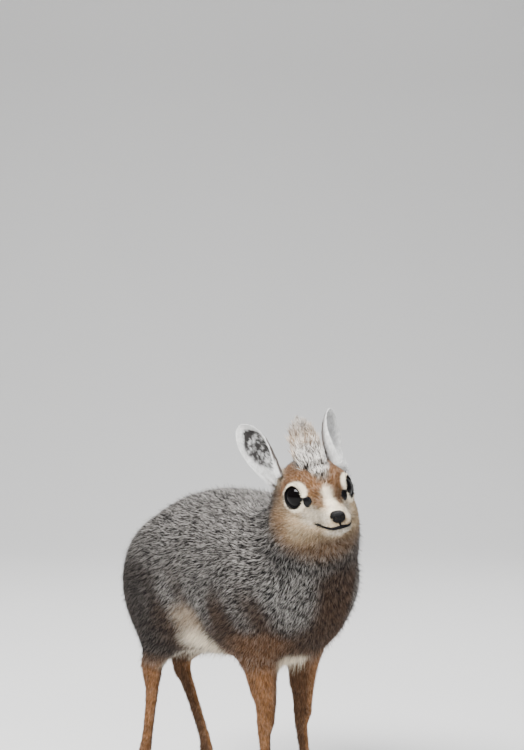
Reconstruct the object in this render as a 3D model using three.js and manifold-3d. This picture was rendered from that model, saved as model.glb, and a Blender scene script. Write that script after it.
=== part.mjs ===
// A young Kirk's dik-dik, standing with its head turned a little to its right, at life size in millimetres.
// +X is where the trunk faces, +Y is the animal's left and +Z is up. The hooves stand on z = 0.
// Sizes are those of the outline of the coat. The body is one soft field, parted into its named pieces.

import * as THREE from "three";
import { mergeVertices } from "three/addons/utils/BufferGeometryUtils.js";
import Module from "manifold-3d";

const wasm = await Module();
wasm.setup();

// Driving sizes
const BACK_HEIGHT = 284;
const BELLY_HEIGHT = 139;
const TRUNK_LENGTH = 229;
const TRUNK_WIDTH = 124;
const KNEE_HEIGHT = 101;
const HOCK_HEIGHT = 113;
const FETLOCK_HEIGHT = 29;
const CORONET_HEIGHT = 15;
const CANNON_RADIUS = 4.9;
const HOOF_LENGTH = 20;
const HEAD_WIDTH = 64;
const EYE_SPACING = 32;
const HEAD_LENGTH = 94;
const EYE_RADIUS = 12;
const EAR_LENGTH = 64;
const EAR_WIDTH = 30;
const TUFT_HEIGHT = 31;
const TAIL_LENGTH = 42;
const GAP = 0.3;

// Where the head is, and how it is turned from looking along +X, in degrees
const HEAD_PLACE = new THREE.Vector3(137, -26, 291.5);
const HEAD_YAW = -27;
const HEAD_PITCH = 1;
const HEAD_ROLL = 9;

const vec = (x, y, z) => new THREE.Vector3(x, y, z);
const mix = (a, b, t) => a + (b - a) * t;
const SIDES = { left: 1, right: -1 };

// Soft fields: each takes a point and gives about its distance from a surface, below zero inside

function turnOf(degrees) {
  const [x, y, z] = degrees.map(THREE.MathUtils.degToRad);
  return new THREE.Matrix4().makeRotationFromEuler(new THREE.Euler(x, y, z, "ZYX"));
}

function egg(centre, radii, turn = [0, 0, 0]) {
  const inward = turnOf(turn).setPosition(centre).invert();
  const q = vec(0, 0, 0);
  return (p) => {
    q.copy(p).applyMatrix4(inward).divide(radii);
    const near = q.length();
    const far = q.divide(radii).length();
    return far > 0 ? (near * (near - 1)) / far : -Math.min(radii.x, radii.y, radii.z);
  };
}

function limb(from, to, fromRadius, toRadius) {
  const along = vec(0, 0, 0).subVectors(to, from);
  const length = along.length();
  along.normalize();
  const slope = (fromRadius - toRadius) / length;
  const lean = Math.sqrt(1 - slope * slope);
  const q = vec(0, 0, 0);
  return (p) => {
    q.subVectors(p, from);
    const run = q.dot(along);
    const out = Math.sqrt(Math.max(q.lengthSq() - run * run, 0));
    const foot = run - (out * slope) / lean;
    if (foot < 0) return Math.hypot(run, out) - fromRadius;
    if (foot > length) return Math.hypot(run - length, out) - toRadius;
    return out * lean + run * slope - fromRadius;
  };
}

// A chain of limbs through [point, radius] stops
function chain(softness, stops) {
  const links = stops.slice(1).map(([to, r], i) => limb(stops[i][0], to, stops[i][1], r));
  return melt(softness, ...links);
}

function melt(softness, ...fields) {
  return (p) => {
    let d = fields[0](p);
    for (let i = 1; i < fields.length; i++) {
      const e = fields[i](p);
      const h = Math.max(softness - Math.abs(d - e), 0) / softness;
      d = Math.min(d, e) - (h * h * softness) / 4;
    }
    return d;
  };
}

function seenFrom(matrix, field) {
  const inward = matrix.clone().invert();
  const q = vec(0, 0, 0);
  return (p) => field(q.copy(p).applyMatrix4(inward));
}

const swollen = (field, by) => (p) => field(p) - by;

// The way out of a field at a point, and the point moved onto the surface along it
function outwardAt(field, p, step = 0.4) {
  const at = p.clone();
  const way = ["x", "y", "z"].map((axis) => {
    at[axis] = p[axis] + step;
    const high = field(at);
    at[axis] = p[axis] - step;
    const low = field(at);
    at[axis] = p[axis];
    return (high - low) / (2 * step);
  });
  return vec(...way);
}

function ontoSurface(field, p, rounds = 4) {
  const at = p.clone();
  for (let i = 0; i < rounds; i++) {
    const way = outwardAt(field, at);
    at.addScaledVector(way, -field(at) / Math.max(way.lengthSq(), 0.05));
  }
  return at;
}

// Where two inside points of a grid face each other across a square whose other two are outside, the
// shallower one is moved outside, so that the net never touches itself along an edge
function partTouching(values, n) {
  const strides = [1, n[0], n[0] * n[1]];
  for (let moved = true; moved; ) {
    moved = false;
    for (let k = 0; k < n[2] - 1; k++)
      for (let j = 0; j < n[1] - 1; j++)
        for (let i = 0; i < n[0] - 1; i++)
          for (let axis = 0; axis < 3; axis++) {
            const [u, v] = [strides[(axis + 1) % 3], strides[(axis + 2) % 3]];
            const at = k * strides[2] + j * strides[1] + i;
            const [a, b, c, d] = [at, at + u, at + u + v, at + v];
            const [ia, ib, ic, id] = [a, b, c, d].map((p) => values[p] < 0);
            if (ia !== ic || ib !== id || ia === ib) continue;
            const [p, q] = ia ? [a, c] : [b, d];
            values[values[p] > values[q] ? p : q] = 1e-3;
            moved = true;
          }
  }
}

// A net of four-sided faces over a field's surface inside a box, drawn tight onto the surface.
// cell is the size of the box's grid along x, y and z.
function netOf(field, low, high, cell) {
  const size = vec(0, 0, 0).subVectors(high, low).divide(cell);
  const n = [size.x, size.y, size.z].map((s) => Math.ceil(s) + 1);
  const step = [cell.x, cell.y, cell.z];
  const id = (i, j, k) => (k * n[1] + j) * n[0] + i;
  const place = (i, j, k) => vec(low.x + i * step[0], low.y + j * step[1], low.z + k * step[2]);
  const values = new Float64Array(n[0] * n[1] * n[2]);
  for (let k = 0; k < n[2]; k++)
    for (let j = 0; j < n[1]; j++)
      for (let i = 0; i < n[0]; i++) {
        const rim = i === 0 || j === 0 || k === 0 || i === n[0] - 1 || j === n[1] - 1 || k === n[2] - 1;
        values[id(i, j, k)] = rim ? Math.max(step[0], field(place(i, j, k))) : field(place(i, j, k));
      }
  partTouching(values, n);
  const corners = [0, 1, 2, 3, 4, 5, 6, 7].map((c) => [c & 1, (c >> 1) & 1, (c >> 2) & 1]);
  const vertices = [];
  const ofCell = new Map();
  for (let k = 0; k < n[2] - 1; k++)
    for (let j = 0; j < n[1] - 1; j++)
      for (let i = 0; i < n[0] - 1; i++) {
        const at = corners.map(([a, b, c]) => values[id(i + a, j + b, k + c)]);
        if (at.every((d) => d < 0) || at.every((d) => d >= 0)) continue;
        const sum = vec(0, 0, 0);
        let crossings = 0;
        for (let a = 0; a < 8; a++)
          for (const bit of [1, 2, 4]) {
            const b = a | bit;
            if (b === a || at[a] < 0 === at[b] < 0) continue;
            const t = at[a] / (at[a] - at[b]);
            const [p, q] = [corners[a], corners[b]];
            sum.add(vec(mix(p[0], q[0], t), mix(p[1], q[1], t), mix(p[2], q[2], t)));
            crossings++;
          }
        sum.divideScalar(crossings).multiply(cell).add(place(i, j, k));
        const inner = i > 0 && j > 0 && k > 0 && i < n[0] - 2 && j < n[1] - 2 && k < n[2] - 2;
        ofCell.set(id(i, j, k), vertices.length);
        vertices.push(inner ? ontoSurface(field, sum, 2) : sum);
      }
  const faces = [];
  const quad = (a, b, c, d) => {
    const short = vertices[a].distanceToSquared(vertices[c]) < vertices[b].distanceToSquared(vertices[d]);
    faces.push(...(short ? [a, b, c, a, c, d] : [a, b, d, b, c, d]));
  };
  for (let k = 0; k < n[2] - 1; k++)
    for (let j = 0; j < n[1] - 1; j++)
      for (let i = 0; i < n[0] - 1; i++)
        for (let axis = 0; axis < 3; axis++) {
          const end = [i, j, k];
          end[axis]++;
          const inside = values[id(i, j, k)] < 0;
          if (inside === values[id(...end)] < 0) continue;
          const ring = [[-1, -1], [0, -1], [0, 0], [-1, 0]].map(([a, b]) => {
            const c = [i, j, k];
            c[(axis + 1) % 3] += a;
            c[(axis + 2) % 3] += b;
            return ofCell.get(id(...c));
          });
          quad(...(inside ? ring : ring.reverse()));
        }
  return meshOf(vertices, faces);
}

function meshOf(points, faces) {
  const geometry = new THREE.BufferGeometry().setFromPoints(points);
  return geometry.setIndex(faces);
}

// A closed skin over rings of points, each ring with as many points as the last. The ends are fans, or
// strips between facing points of a ring that runs up one face of a sheet and back down the other.
function loft(rings, sheet = false) {
  const n = rings[0].length;
  const points = rings.flat();
  const faces = [];
  for (let r = 0; r < rings.length - 1; r++)
    for (let i = 0; i < n; i++) {
      const [a, b] = [r * n + i, r * n + ((i + 1) % n)];
      faces.push(a, b, b + n, a, b + n, a + n);
    }
  [[0, -1], [rings.length - 1, 1]].forEach(([r, side]) => {
    const hub = points.length;
    const close = (...face) => faces.push(...(side > 0 ? face : face.reverse()));
    if (sheet) {
      for (let i = 0; i < n / 2 - 1; i++) {
        const [a, b, c, d] = [i, i + 1, n - 2 - i, n - 1 - i].map((k) => r * n + k);
        close(a, b, c);
        close(a, c, d);
      }
    } else {
      points.push(rings[r].reduce((sum, p) => sum.add(p), vec(0, 0, 0)).divideScalar(n));
      for (let i = 0; i < n; i++) close(hub, r * n + i, r * n + ((i + 1) % n));
    }
  });
  return meshOf(points, faces);
}

// Solids: joined and cut with manifold-3d

function solid(geometry, matrix = new THREE.Matrix4()) {
  const bare = new THREE.BufferGeometry();
  bare.setAttribute("position", geometry.getAttribute("position").clone()).setIndex(geometry.index);
  const merged = mergeVertices(bare.applyMatrix4(matrix), 1e-3);
  const { position } = merged.attributes;
  const mesh = { numProp: 3, vertProperties: position.array, triVerts: new Uint32Array(merged.index.array) };
  return new wasm.Manifold(new wasm.Mesh(mesh));
}

function geometryOf(made) {
  const mesh = made.getMesh();
  const geometry = new THREE.BufferGeometry();
  geometry.setAttribute("position", new THREE.BufferAttribute(mesh.vertProperties, 3));
  geometry.setIndex(new THREE.BufferAttribute(mesh.triVerts, 1));
  geometry.computeVertexNormals();
  return geometry;
}

const largest = (made) => made.decompose().sort((a, b) => b.volume() - a.volume())[0];
const placed = (x, y, z) => new THREE.Matrix4().makeTranslation(x, y, z);

// All that lies past a plane, as a big block
function beyond(point, normal, reach = 700) {
  const block = new THREE.BoxGeometry(reach, reach, reach).translate(0, 0, reach / 2);
  const turn = new THREE.Quaternion().setFromUnitVectors(vec(0, 0, 1), normal.clone().normalize());
  return solid(block, new THREE.Matrix4().compose(point, turn, vec(1, 1, 1)));
}

// The trunk

const trunkMid = (BACK_HEIGHT + BELLY_HEIGHT) / 2;
const halfDepth = (BACK_HEIGHT - BELLY_HEIGHT) / 2;
const halfWidth = TRUNK_WIDTH / 2;
const breastX = 126;
const rumpX = breastX - TRUNK_LENGTH;

function bothSides(make) {
  return Object.values(SIDES).map(make);
}

const trunk = melt(
  26,
  egg(vec(4, 0, trunkMid), vec(80, halfWidth * 0.99, halfDepth * 0.97)),
  egg(vec(breastX - 70, 0, trunkMid - 2), vec(62, halfWidth * 0.96, halfDepth * 0.93)),
  egg(vec(rumpX + 60, 0, trunkMid - 10), vec(53, halfWidth * 0.9, halfDepth * 0.84)),
  egg(vec(breastX - 32, 0, trunkMid - 7), vec(38, 39, 50), [0, 20, 0]),
  ...bothSides((s) => egg(vec(64, s * 32, trunkMid - 4), vec(32, 23, 50), [0, 8, 0])),
  ...bothSides((s) => egg(vec(-56, s * 30, trunkMid - 20), vec(38, 23, 48), [0, -10, 0])),
);

const neck = melt(
  20,
  limb(vec(86, 0, trunkMid + 6), vec(114, -12, 256), 50, 35),
  limb(vec(114, -12, 256), vec(119, -19, 276), 34, 26),
);

// Legs: stops from the body down to the coronet, as [point, radius]
const FORE_STANCE = { left: { knee: 66, foot: 74, out: 25 }, right: { knee: 71, foot: 73, out: 23 } };
const HIND_STANCE = { left: { hock: -88, foot: -51, out: 23 }, right: { hock: -75, foot: -88, out: 23 } };

function forelegStops(side) {
  const s = SIDES[side];
  const { knee, foot, out } = FORE_STANCE[side];
  const y = s * out;
  return [
    [vec(mix(66, knee, 0.3), s * 32, trunkMid - 20), 20],
    [vec(mix(66, knee, 0.5), s * 27, BELLY_HEIGHT + 8), 15.5],
    [vec(knee - 1, y + s * 1, mix(BELLY_HEIGHT, KNEE_HEIGHT, 0.5)), 10.8],
    [vec(knee + 1, y, KNEE_HEIGHT + 7), 8.8],
    [vec(knee + 1, y, KNEE_HEIGHT - 6), 8.2],
    [vec(knee - 1, y, KNEE_HEIGHT - 19), CANNON_RADIUS + 0.8],
    [vec(mix(knee, foot, 0.6), y, FETLOCK_HEIGHT + 22), CANNON_RADIUS],
    [vec(foot - 3, y, FETLOCK_HEIGHT), 7.2],
    [vec(foot + 1, y, CORONET_HEIGHT + 5), 7],
    [vec(foot + 4, y, CORONET_HEIGHT - 6), 8.2],
  ];
}

function hindlegStops(side) {
  const s = SIDES[side];
  const { hock, foot, out } = HIND_STANCE[side];
  const y = s * out;
  return [
    [vec(-50, s * 31, trunkMid - 26), 26],
    [vec(mix(-50, hock, 0.35), s * 27, BELLY_HEIGHT + 8), 17.5],
    [vec(mix(-50, hock, 0.8), y + s * 2, HOCK_HEIGHT + 18), 11.5],
    [vec(hock - 2, y, HOCK_HEIGHT + 6), 9],
    [vec(hock - 2, y, HOCK_HEIGHT - 6), 7.6],
    [vec(mix(hock, foot, 0.25), y, HOCK_HEIGHT - 24), CANNON_RADIUS + 0.8],
    [vec(mix(hock, foot, 0.8), y, FETLOCK_HEIGHT + 20), CANNON_RADIUS + 0.5],
    [vec(foot - 3, y, FETLOCK_HEIGHT), 7.4],
    [vec(foot + 1, y, CORONET_HEIGHT + 5), 7],
    [vec(foot + 4, y, CORONET_HEIGHT - 6), 8.2],
  ];
}

function heel(side) {
  const { hock, out } = HIND_STANCE[side];
  const y = SIDES[side] * out;
  return limb(vec(hock - 3, y, HOCK_HEIGHT - 2), vec(hock - 11, y, HOCK_HEIGHT + 9), 5.6, 4.2);
}

const forelegs = Object.fromEntries(Object.keys(SIDES).map((side) => [side, chain(2, forelegStops(side))]));
const hindlegs = Object.fromEntries(
  Object.keys(SIDES).map((side) => [side, melt(6, chain(2, hindlegStops(side)), heel(side))]),
);

// The head, in its own frame: the middle between the eyes is its origin and +X is where it looks
const headFrame = turnOf([HEAD_ROLL, HEAD_PITCH, HEAD_YAW]).setPosition(HEAD_PLACE);
const headHalf = HEAD_WIDTH / 2;
const noseTip = HEAD_LENGTH / 2;
const eyeCentre = (s) => vec(2, (s * EYE_SPACING) / 2, 0);
const eyeGaze = (s) => vec(0.6, s * 0.79, 0.08).normalize();

const head = melt(
  9,
  egg(vec(-20, 0, 1), vec(28, headHalf - 5, 25)),
  egg(vec(-2, 0, 5), vec(24, headHalf - 9, 19)),
  ...bothSides((s) => egg(vec(-12, s * 15, -20), vec(26, headHalf - 15, 20))),
  limb(vec(4, 0, -10), vec(noseTip - 12, 0, -17), 18, 10.5),
  egg(vec(noseTip - 11, 0, -18), vec(11.5, 11.5, 9)),
  limb(vec(-14, 0, -26), vec(noseTip - 19, 0, -27), 19, 8),
  ...bothSides((s) => egg(eyeCentre(s), vec(EYE_RADIUS + 2, EYE_RADIUS + 0.5, EYE_RADIUS + 2))),
);

const throat = egg(vec(-18, 0, -32), vec(25, 24, 21));
const lidBulge = melt(
  4,
  ...bothSides((s) => {
    const at = eyeCentre(s).addScaledVector(eyeGaze(s), 0.4);
    return egg(at, vec(EYE_RADIUS + 1.9, EYE_RADIUS + 1.9, EYE_RADIUS + 1.9));
  }),
);

const body = melt(
  9,
  melt(12, trunk, ...Object.values(forelegs), ...Object.values(hindlegs)),
  neck,
  seenFrom(headFrame, melt(10, head, throat)),
);
const headField = melt(1.5, seenFrom(headFrame.clone().invert(), body), lidBulge);

// Where the pieces part
const neckBase = { point: vec(112, 0, 258), normal: vec(0.8, -0.1, 0.62).normalize() };
const headBack = {
  point: vec(-30, 0, -14).applyMatrix4(headFrame),
  normal: vec(0.62, 0, 0.62).transformDirection(headFrame),
};
const CROTCH_HEIGHT = 148;
const LEG_TOP_SLOPE = 0.8;

// The space a leg is parted from the torso in: under a plane that rises outward, beside the middle plane
function legSpace(side, fromX, toX, back) {
  const s = SIDES[side];
  const inner = 2 + back;
  const top = (y) => CROTCH_HEIGHT - back * Math.hypot(1, LEG_TOP_SLOPE) + LEG_TOP_SLOPE * y;
  const outline = [[inner, -20], [120, -20], [120, top(120)], [inner, top(inner)]];
  const shape = new THREE.Shape(outline.map(([y, z]) => new THREE.Vector2(s * y, z)));
  const length = toX - fromX - 2 * back;
  const block = new THREE.ExtrudeGeometry(shape, { depth: length, bevelEnabled: false });
  const upright = new THREE.Matrix4().makeBasis(vec(0, 1, 0), vec(0, 0, 1), vec(1, 0, 0));
  return solid(block, upright.setPosition(fromX + back, 0, 0));
}

const LEG_SPACES = {
  foreleg_left: ["left", 24, 112, forelegs.left],
  foreleg_right: ["right", 24, 112, forelegs.right],
  hindleg_left: ["left", -140, -14, hindlegs.left],
  hindleg_right: ["right", -140, -14, hindlegs.right],
};

const shifted = (plane, by) => ({ ...plane, point: plane.point.clone().addScaledVector(plane.normal, by) });
const past = ({ point, normal }) => beyond(point, normal);

function torso() {
  const net = netOf(body, vec(-150, -92, 112), vec(170, 92, 300), vec(10.5, 10.5, 10.5));
  const cuts = Object.values(LEG_SPACES).map(([side, from, to]) => legSpace(side, from, to, 0));
  return [...cuts, past(neckBase)].reduce((left, cut) => left.subtract(cut), solid(net));
}

function leg(name) {
  const [side, from, to, field] = LEG_SPACES[name];
  const s = SIDES[side];
  const [y0, y1] = s > 0 ? [0, 82] : [-82, 0];
  const net = netOf(body, vec(from - 6, y0, -12), vec(to + 6, y1, 224), vec(5.2, 5.2, 9));
  const whole = solid(net).intersect(legSpace(side, from, to, GAP));
  return whole.subtract(beyond(vec(0, 0, CORONET_HEIGHT), vec(0, 0, -1)));
}

function neckPiece() {
  const net = netOf(body, vec(60, -80, 200), vec(180, 60, 330), vec(8, 8, 8));
  const front = beyond(shifted(headBack, -GAP).point, headBack.normal);
  const rear = beyond(shifted(neckBase, GAP).point, neckBase.normal);
  return solid(net).intersect(rear).subtract(front);
}

// Claws: a pair to a foot, each lofted down to a flat sole
function claw(side, stance, c) {
  const { foot, out } = stance[side];
  const y0 = SIDES[side] * out;
  const top = CORONET_HEIGHT - GAP;
  const levels = [[top, 0.78, 7.2, 3], [9, 0.9, 7.8, 4.2], [3, 1, 8.4, 5.6], [0, 0.97, 8, 6]];
  const rings = levels.map(([z, size, width, lead]) =>
    Array.from({ length: 14 }, (_, i) => {
      const a = (i / 14) * 2 * Math.PI;
      const front = (1 + Math.cos(a)) / 2;
      const across = 0.5 + 0.5 * Math.sign(Math.sin(a)) * Math.abs(Math.sin(a)) ** 0.8;
      const y = 0.35 + width * across * (1 - 0.34 * front ** 2);
      return vec(foot + lead + (HOOF_LENGTH / 2) * size * Math.cos(a), y0 + c * y, z);
    }),
  );
  return solid(loft(c < 0 ? rings : rings.map((ring) => ring.slice().reverse())));
}

// The eyes are balls. Each shows through an almond opening between the lids.
const eyeBall = (s, by = 0) =>
  solid(new THREE.SphereGeometry(EYE_RADIUS + by, 20, 14), placed(...eyeCentre(s).toArray()));

function eyeOpening(s) {
  const [wide, tall] = [8.6, 9];
  const outline = Array.from({ length: 20 }, (_, i) => {
    const a = (i / 20) * 2 * Math.PI;
    const droop = 0.1 * tall * Math.cos(a);
    return new THREE.Vector2(wide * Math.cos(a), tall * Math.sin(a) * (1 - 0.14 * Math.cos(a) ** 2) - droop);
  });
  const prism = new THREE.ExtrudeGeometry(new THREE.Shape(outline), { depth: 30, bevelEnabled: false });
  const gaze = eyeGaze(s);
  const up = vec(0, 0, 1).addScaledVector(gaze, -gaze.z).normalize();
  const across = vec(0, 0, 0).crossVectors(up, gaze);
  const turned = new THREE.Matrix4().makeBasis(across, up, gaze);
  return solid(prism, turned.setPosition(eyeCentre(s).addScaledVector(gaze, 2)));
}

// A round bar along points, as thick as radiusAt says from 0 at its start to 1 at its end
function bar(points, radiusAt, sides = 8) {
  const rings = points.map((p, i) => {
    const before = points[Math.max(i - 1, 0)];
    const after = points[Math.min(i + 1, points.length - 1)];
    const along = vec(0, 0, 0).subVectors(after, before).normalize();
    const side = vec(0, 0, 1).cross(along).normalize();
    const up = vec(0, 0, 0).crossVectors(along, side);
    const r = radiusAt(i / (points.length - 1));
    return Array.from({ length: sides }, (_, k) => {
      const a = (k / sides) * 2 * Math.PI;
      return p.clone().addScaledVector(side, r * Math.cos(a)).addScaledVector(up, r * Math.sin(a));
    });
  });
  return solid(loft(rings));
}

// The mouth line from corner to corner, on the face
const mouthLine = Array.from({ length: 17 }, (_, i) => {
  const t = i / 8 - 1;
  const across = 13.5 * Math.sign(t) * Math.abs(t) ** 1.15;
  return ontoSurface(head, vec(mix(43, 24, t * t), across, mix(-22.5, -20, t * t)));
});
const mouthDepth = (t) => 0.5 + 0.9 * Math.sin(Math.PI * mix(0.08, 0.92, t));
const mouthAlong = (by) => mouthLine.map((p) => p.clone().add(vec(by, 0, 0)));

const nosePlane = { point: vec(noseTip - 5, 0, -14), normal: vec(0.8, 0, 0.6) };

function headPiece() {
  const net = netOf(headField, vec(-62, -44, -62), vec(60, 44, 42), vec(4.9, 4.9, 4.9));
  const lips = bar(mouthAlong(-0.6), (t) => 1.6 * mouthDepth(t) + 0.5);
  const groove = bar(mouthAlong(0.9), mouthDepth);
  const local = headFrame.clone().invert();
  const fronts = [headBack, shifted(neckBase, GAP)].map(({ point, normal }) =>
    beyond(point.clone().applyMatrix4(local), normal.clone().transformDirection(local)),
  );
  const cuts = [
    groove,
    past(nosePlane),
    ...bothSides((s) => eyeBall(s, GAP)),
    ...bothSides(eyeOpening),
  ];
  const face = fronts.reduce((left, front) => left.intersect(front), solid(net).add(lips));
  return cuts.reduce((left, cut) => left.subtract(cut), face);
}

// The bare end of the nose, with its nostrils and the line between them
function nose() {
  const pad = melt(
    3,
    egg(vec(noseTip - 6, 0, -15), vec(6.6, 5, 4.2), [0, 20, 0]),
    ...bothSides((s) => egg(vec(noseTip - 5, s * 2.6, -14.4), vec(5.6, 3.2, 3.7))),
  );
  const net = solid(netOf(pad, vec(30, -12, -26), vec(52, 12, -4), vec(2, 2, 2)));
  const slit = [[2.2, 2, 1], [0, 2.8, 0.7], [-2.4, 4.7, 0.1], [-4.4, 7, -1.4], [-5.6, 10, -2.6]];
  const nostril = (s) => {
    const points = slit.map(([x, y, z]) => vec(noseTip + x, s * y, z - 15.3));
    return bar(points, (t) => mix(1.5, 0.6, t), 7);
  };
  const split = [vec(noseTip + 3, 0, -11), vec(noseTip + 1, 0, -16), vec(noseTip - 1.4, 0, -24)];
  const line = bar(split, () => 0.5, 6);
  const cuts = [...bothSides(nostril), line];
  const front = beyond(shifted(nosePlane, GAP).point, nosePlane.normal);
  return cuts.reduce((left, cut) => left.subtract(cut), net.intersect(front));
}

// An ear is a sheet rolled into a cup at its foot that opens into a leaf toward its tip
function ear(s) {
  const foot = vec(-23, s * 22.5, 10.5);
  const axis = vec(-41, s * 19.5, 44.8).normalize();
  const turnedOut = THREE.MathUtils.degToRad(s > 0 ? 50 : 53);
  const facing = vec(Math.cos(turnedOut), s * Math.sin(turnedOut), 0.1);
  facing.addScaledVector(axis, -facing.dot(axis)).normalize();
  const across = vec(0, 0, 0).crossVectors(axis, facing);
  const stops = [
    [0, 0.22, 290],
    [0.12, 0.27, 245],
    [0.26, 0.36, 190],
    [0.42, 0.45, 156],
    [0.57, 0.5, 134],
    [0.71, 0.49, 120],
    [0.83, 0.41, 110],
    [0.92, 0.29, 102],
    [0.98, 0.16, 94],
    [1, 0.06, 90],
  ];
  const n = 9;
  const rings = stops.map(([t, half, arc]) => {
    const bend = 5 * Math.sin(Math.PI * t);
    const open = THREE.MathUtils.degToRad(arc);
    const chordHalf = half * EAR_WIDTH;
    const r = open < Math.PI ? chordHalf / Math.sin(open / 2) : chordHalf;
    const wall = mix(2.4, 1.1, Math.min(1, t * 1.3)) * Math.min(1, 0.35 + half * 4);
    const middle = foot.clone().addScaledVector(axis, t * EAR_LENGTH);
    middle.addScaledVector(facing, r * 0.75 - bend);
    const at = (phi, radius) => {
      const ahead = middle.clone().addScaledVector(facing, -radius * Math.cos(phi));
      return ahead.addScaledVector(across, radius * Math.sin(phi));
    };
    const outer = Array.from({ length: n }, (_, i) => at(mix(-open / 2, open / 2, i / (n - 1)), r));
    const inner = Array.from({ length: n }, (_, i) => {
      const edge = 1 - 0.5 * Math.abs(1 - (2 * i) / (n - 1)) ** 3;
      return at(mix(open / 2, -open / 2, i / (n - 1)), r - wall * edge);
    });
    return [...outer, ...inner].reverse();
  });
  return solid(loft(rings, true));
}

// A lock of hair: a flat tapering bar of four-sided rings from a root, bending over toward an end
function lock(root, tip, sag, width, thick, side) {
  const rings = [0, 0.3, 0.65, 1].map((t) => {
    const middle = root.clone().lerp(tip, t).addScaledVector(sag, 4 * t * (1 - t));
    const next = root.clone().lerp(tip, t + 0.05).addScaledVector(sag, 4 * (t + 0.05) * (0.95 - t));
    const along = next.sub(middle).normalize();
    const flat = side.clone().addScaledVector(along, -side.dot(along)).normalize();
    const over = vec(0, 0, 0).crossVectors(along, flat);
    const size = Math.max(0.1, 1 - 0.9 * t ** 2.4);
    const corner = (a, b) => {
      const aside = middle.clone().addScaledVector(flat, a * width * size * 0.5);
      return aside.addScaledVector(over, b * thick * size * 0.5);
    };
    return [corner(1, 0), corner(0, 1), corner(-1, 0), corner(0, -1)];
  });
  return solid(loft(rings));
}

// Evenly spread numbers between 0 and 1, the same at every run
const spread = (i, step) => (i * step) % 1;

function tuft() {
  const locks = [];
  const ROWS = 6;
  for (let row = 0; row < ROWS; row++) {
    const t = row / (ROWS - 1);
    const count = Math.round(mix(3, 6, Math.sin(Math.PI * Math.min(1, 0.2 + t * 0.75))));
    for (let k = 0; k < count; k++) {
      const u = count > 1 ? (2 * k) / (count - 1) - 1 : 0;
      const jitter = spread(row * 7 + k + 1, 0.618) - 0.5;
      const root = ontoSurface(head, vec(mix(10, -22, t), u * mix(5.5, 9.5, t) + jitter, 26));
      const inward = root.clone().add(vec(0, 0, -2.5));
      const long = mix(10, TUFT_HEIGHT, Math.min(1, t * 1.7)) * (1 - 0.26 * u * u) * (1 + 0.16 * jitter);
      const lean = mix(0.55, 0.3, t);
      const way = vec(-lean, u * 0.16, mix(0.62, 0.95, Math.min(1, t * 1.5))).normalize();
      const end = root.clone().addScaledVector(way, long).add(vec(0, -u * long * 0.16, 0));
      const sag = vec(0.07 * long, u * 1.5, 0.03 * long);
      locks.push(lock(inward, end, sag, mix(6, 8.6, t), mix(3.4, 4.4, t), vec(0.12 * jitter, 1, 0)));
    }
  }
  const ridge = limb(vec(2, 0, 21), vec(-25, 0, 22), 4.5, 6.5);
  const core = melt(6, ridge, limb(vec(-12, 0, 22), vec(-22, 0, 38), 6.5, 4));
  const middle = solid(netOf(core, vec(-42, -16, 8), vec(16, 16, 50), vec(4.6, 4.6, 4.6)));
  return locks.reduce((sum, one) => sum.add(one), middle);
}

const tailRoot = vec(rumpX + 12, 0, trunkMid + 26);
const tail = chain(3, [
  [tailRoot, 8],
  [vec(rumpX - 1, 0, tailRoot.z - 10), 7.4],
  [vec(rumpX - 5, 0, tailRoot.z + 2 - TAIL_LENGTH), 3.6],
]);

const group = new THREE.Group();
const inner = new THREE.Group();
group.add(inner);

function addNode(name, made, look, matrix = new THREE.Matrix4()) {
  const mesh = new THREE.Mesh(geometryOf(largest(made)).applyMatrix4(matrix), look);
  mesh.name = name;
  inner.add(mesh);
}

const look = (color, roughness) => new THREE.MeshStandardMaterial({ color, roughness, metalness: 0 });
const grizzledCoat = look(0x5d554d, 0.85);
const tanCoat = look(0x8a5a35, 0.85);
const faceCoat = look(0xa77248, 0.85);
const earSkin = look(0xc9bfb6, 0.8);
const tuftHair = look(0x9c7c63, 0.85);
const wetBlack = look(0x0d0b0b, 0.1);
const nosePad = look(0x151313, 0.4);
const horn = look(0x2b2623, 0.5);

// What stands on the head is kept clear of it
const swollenNet = (field, low, high, step) => solid(netOf(swollen(field, GAP), low, high, step));
const headClear = swollenNet(headField, vec(-62, -44, -62), vec(60, 44, 42), vec(4.9, 4.9, 4.9));
const trunkClear = swollenNet(body, vec(-150, -92, 112), vec(-40, 92, 300), vec(10.5, 10.5, 10.5));

addNode("torso", torso(), grizzledCoat);
addNode("neck", neckPiece(), grizzledCoat);
addNode("head", headPiece(), faceCoat, headFrame);
const tailNet = solid(netOf(tail, vec(-150, -16, 180), vec(-80, 16, 262), vec(5, 5, 7)));
addNode("tail", tailNet.subtract(trunkClear), tanCoat);
Object.keys(LEG_SPACES).forEach((name) => addNode(name, leg(name), tanCoat));
Object.keys(SIDES).forEach((side) => {
  const s = SIDES[side];
  addNode(`ear_${side}`, ear(s).subtract(headClear), earSkin, headFrame);
  addNode(`eye_${side}`, eyeBall(s), wetBlack, headFrame);
  [["fore", FORE_STANCE], ["hind", HIND_STANCE]].forEach(([end, stance]) => {
    addNode(`hoof_${end}_${side}_outer`, claw(side, stance, s), horn);
    addNode(`hoof_${end}_${side}_inner`, claw(side, stance, -s), horn);
  });
});
addNode("nose", nose(), nosePad, headFrame);
addNode("tuft", tuft().subtract(headClear), tuftHair, headFrame);

// The middle of the outline's floor is the origin
const box = new THREE.Box3().setFromObject(group);
inner.position.set(-(box.min.x + box.max.x) / 2, -(box.min.y + box.max.y) / 2, -box.min.z);

export default group;
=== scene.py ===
"""A young Kirk's dik-dik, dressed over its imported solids: skin, coat, crest, ears, face, eyes and feet."""

import math

import bmesh
import bpy
import numpy as np
from mathutils import Matrix, Vector


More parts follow.
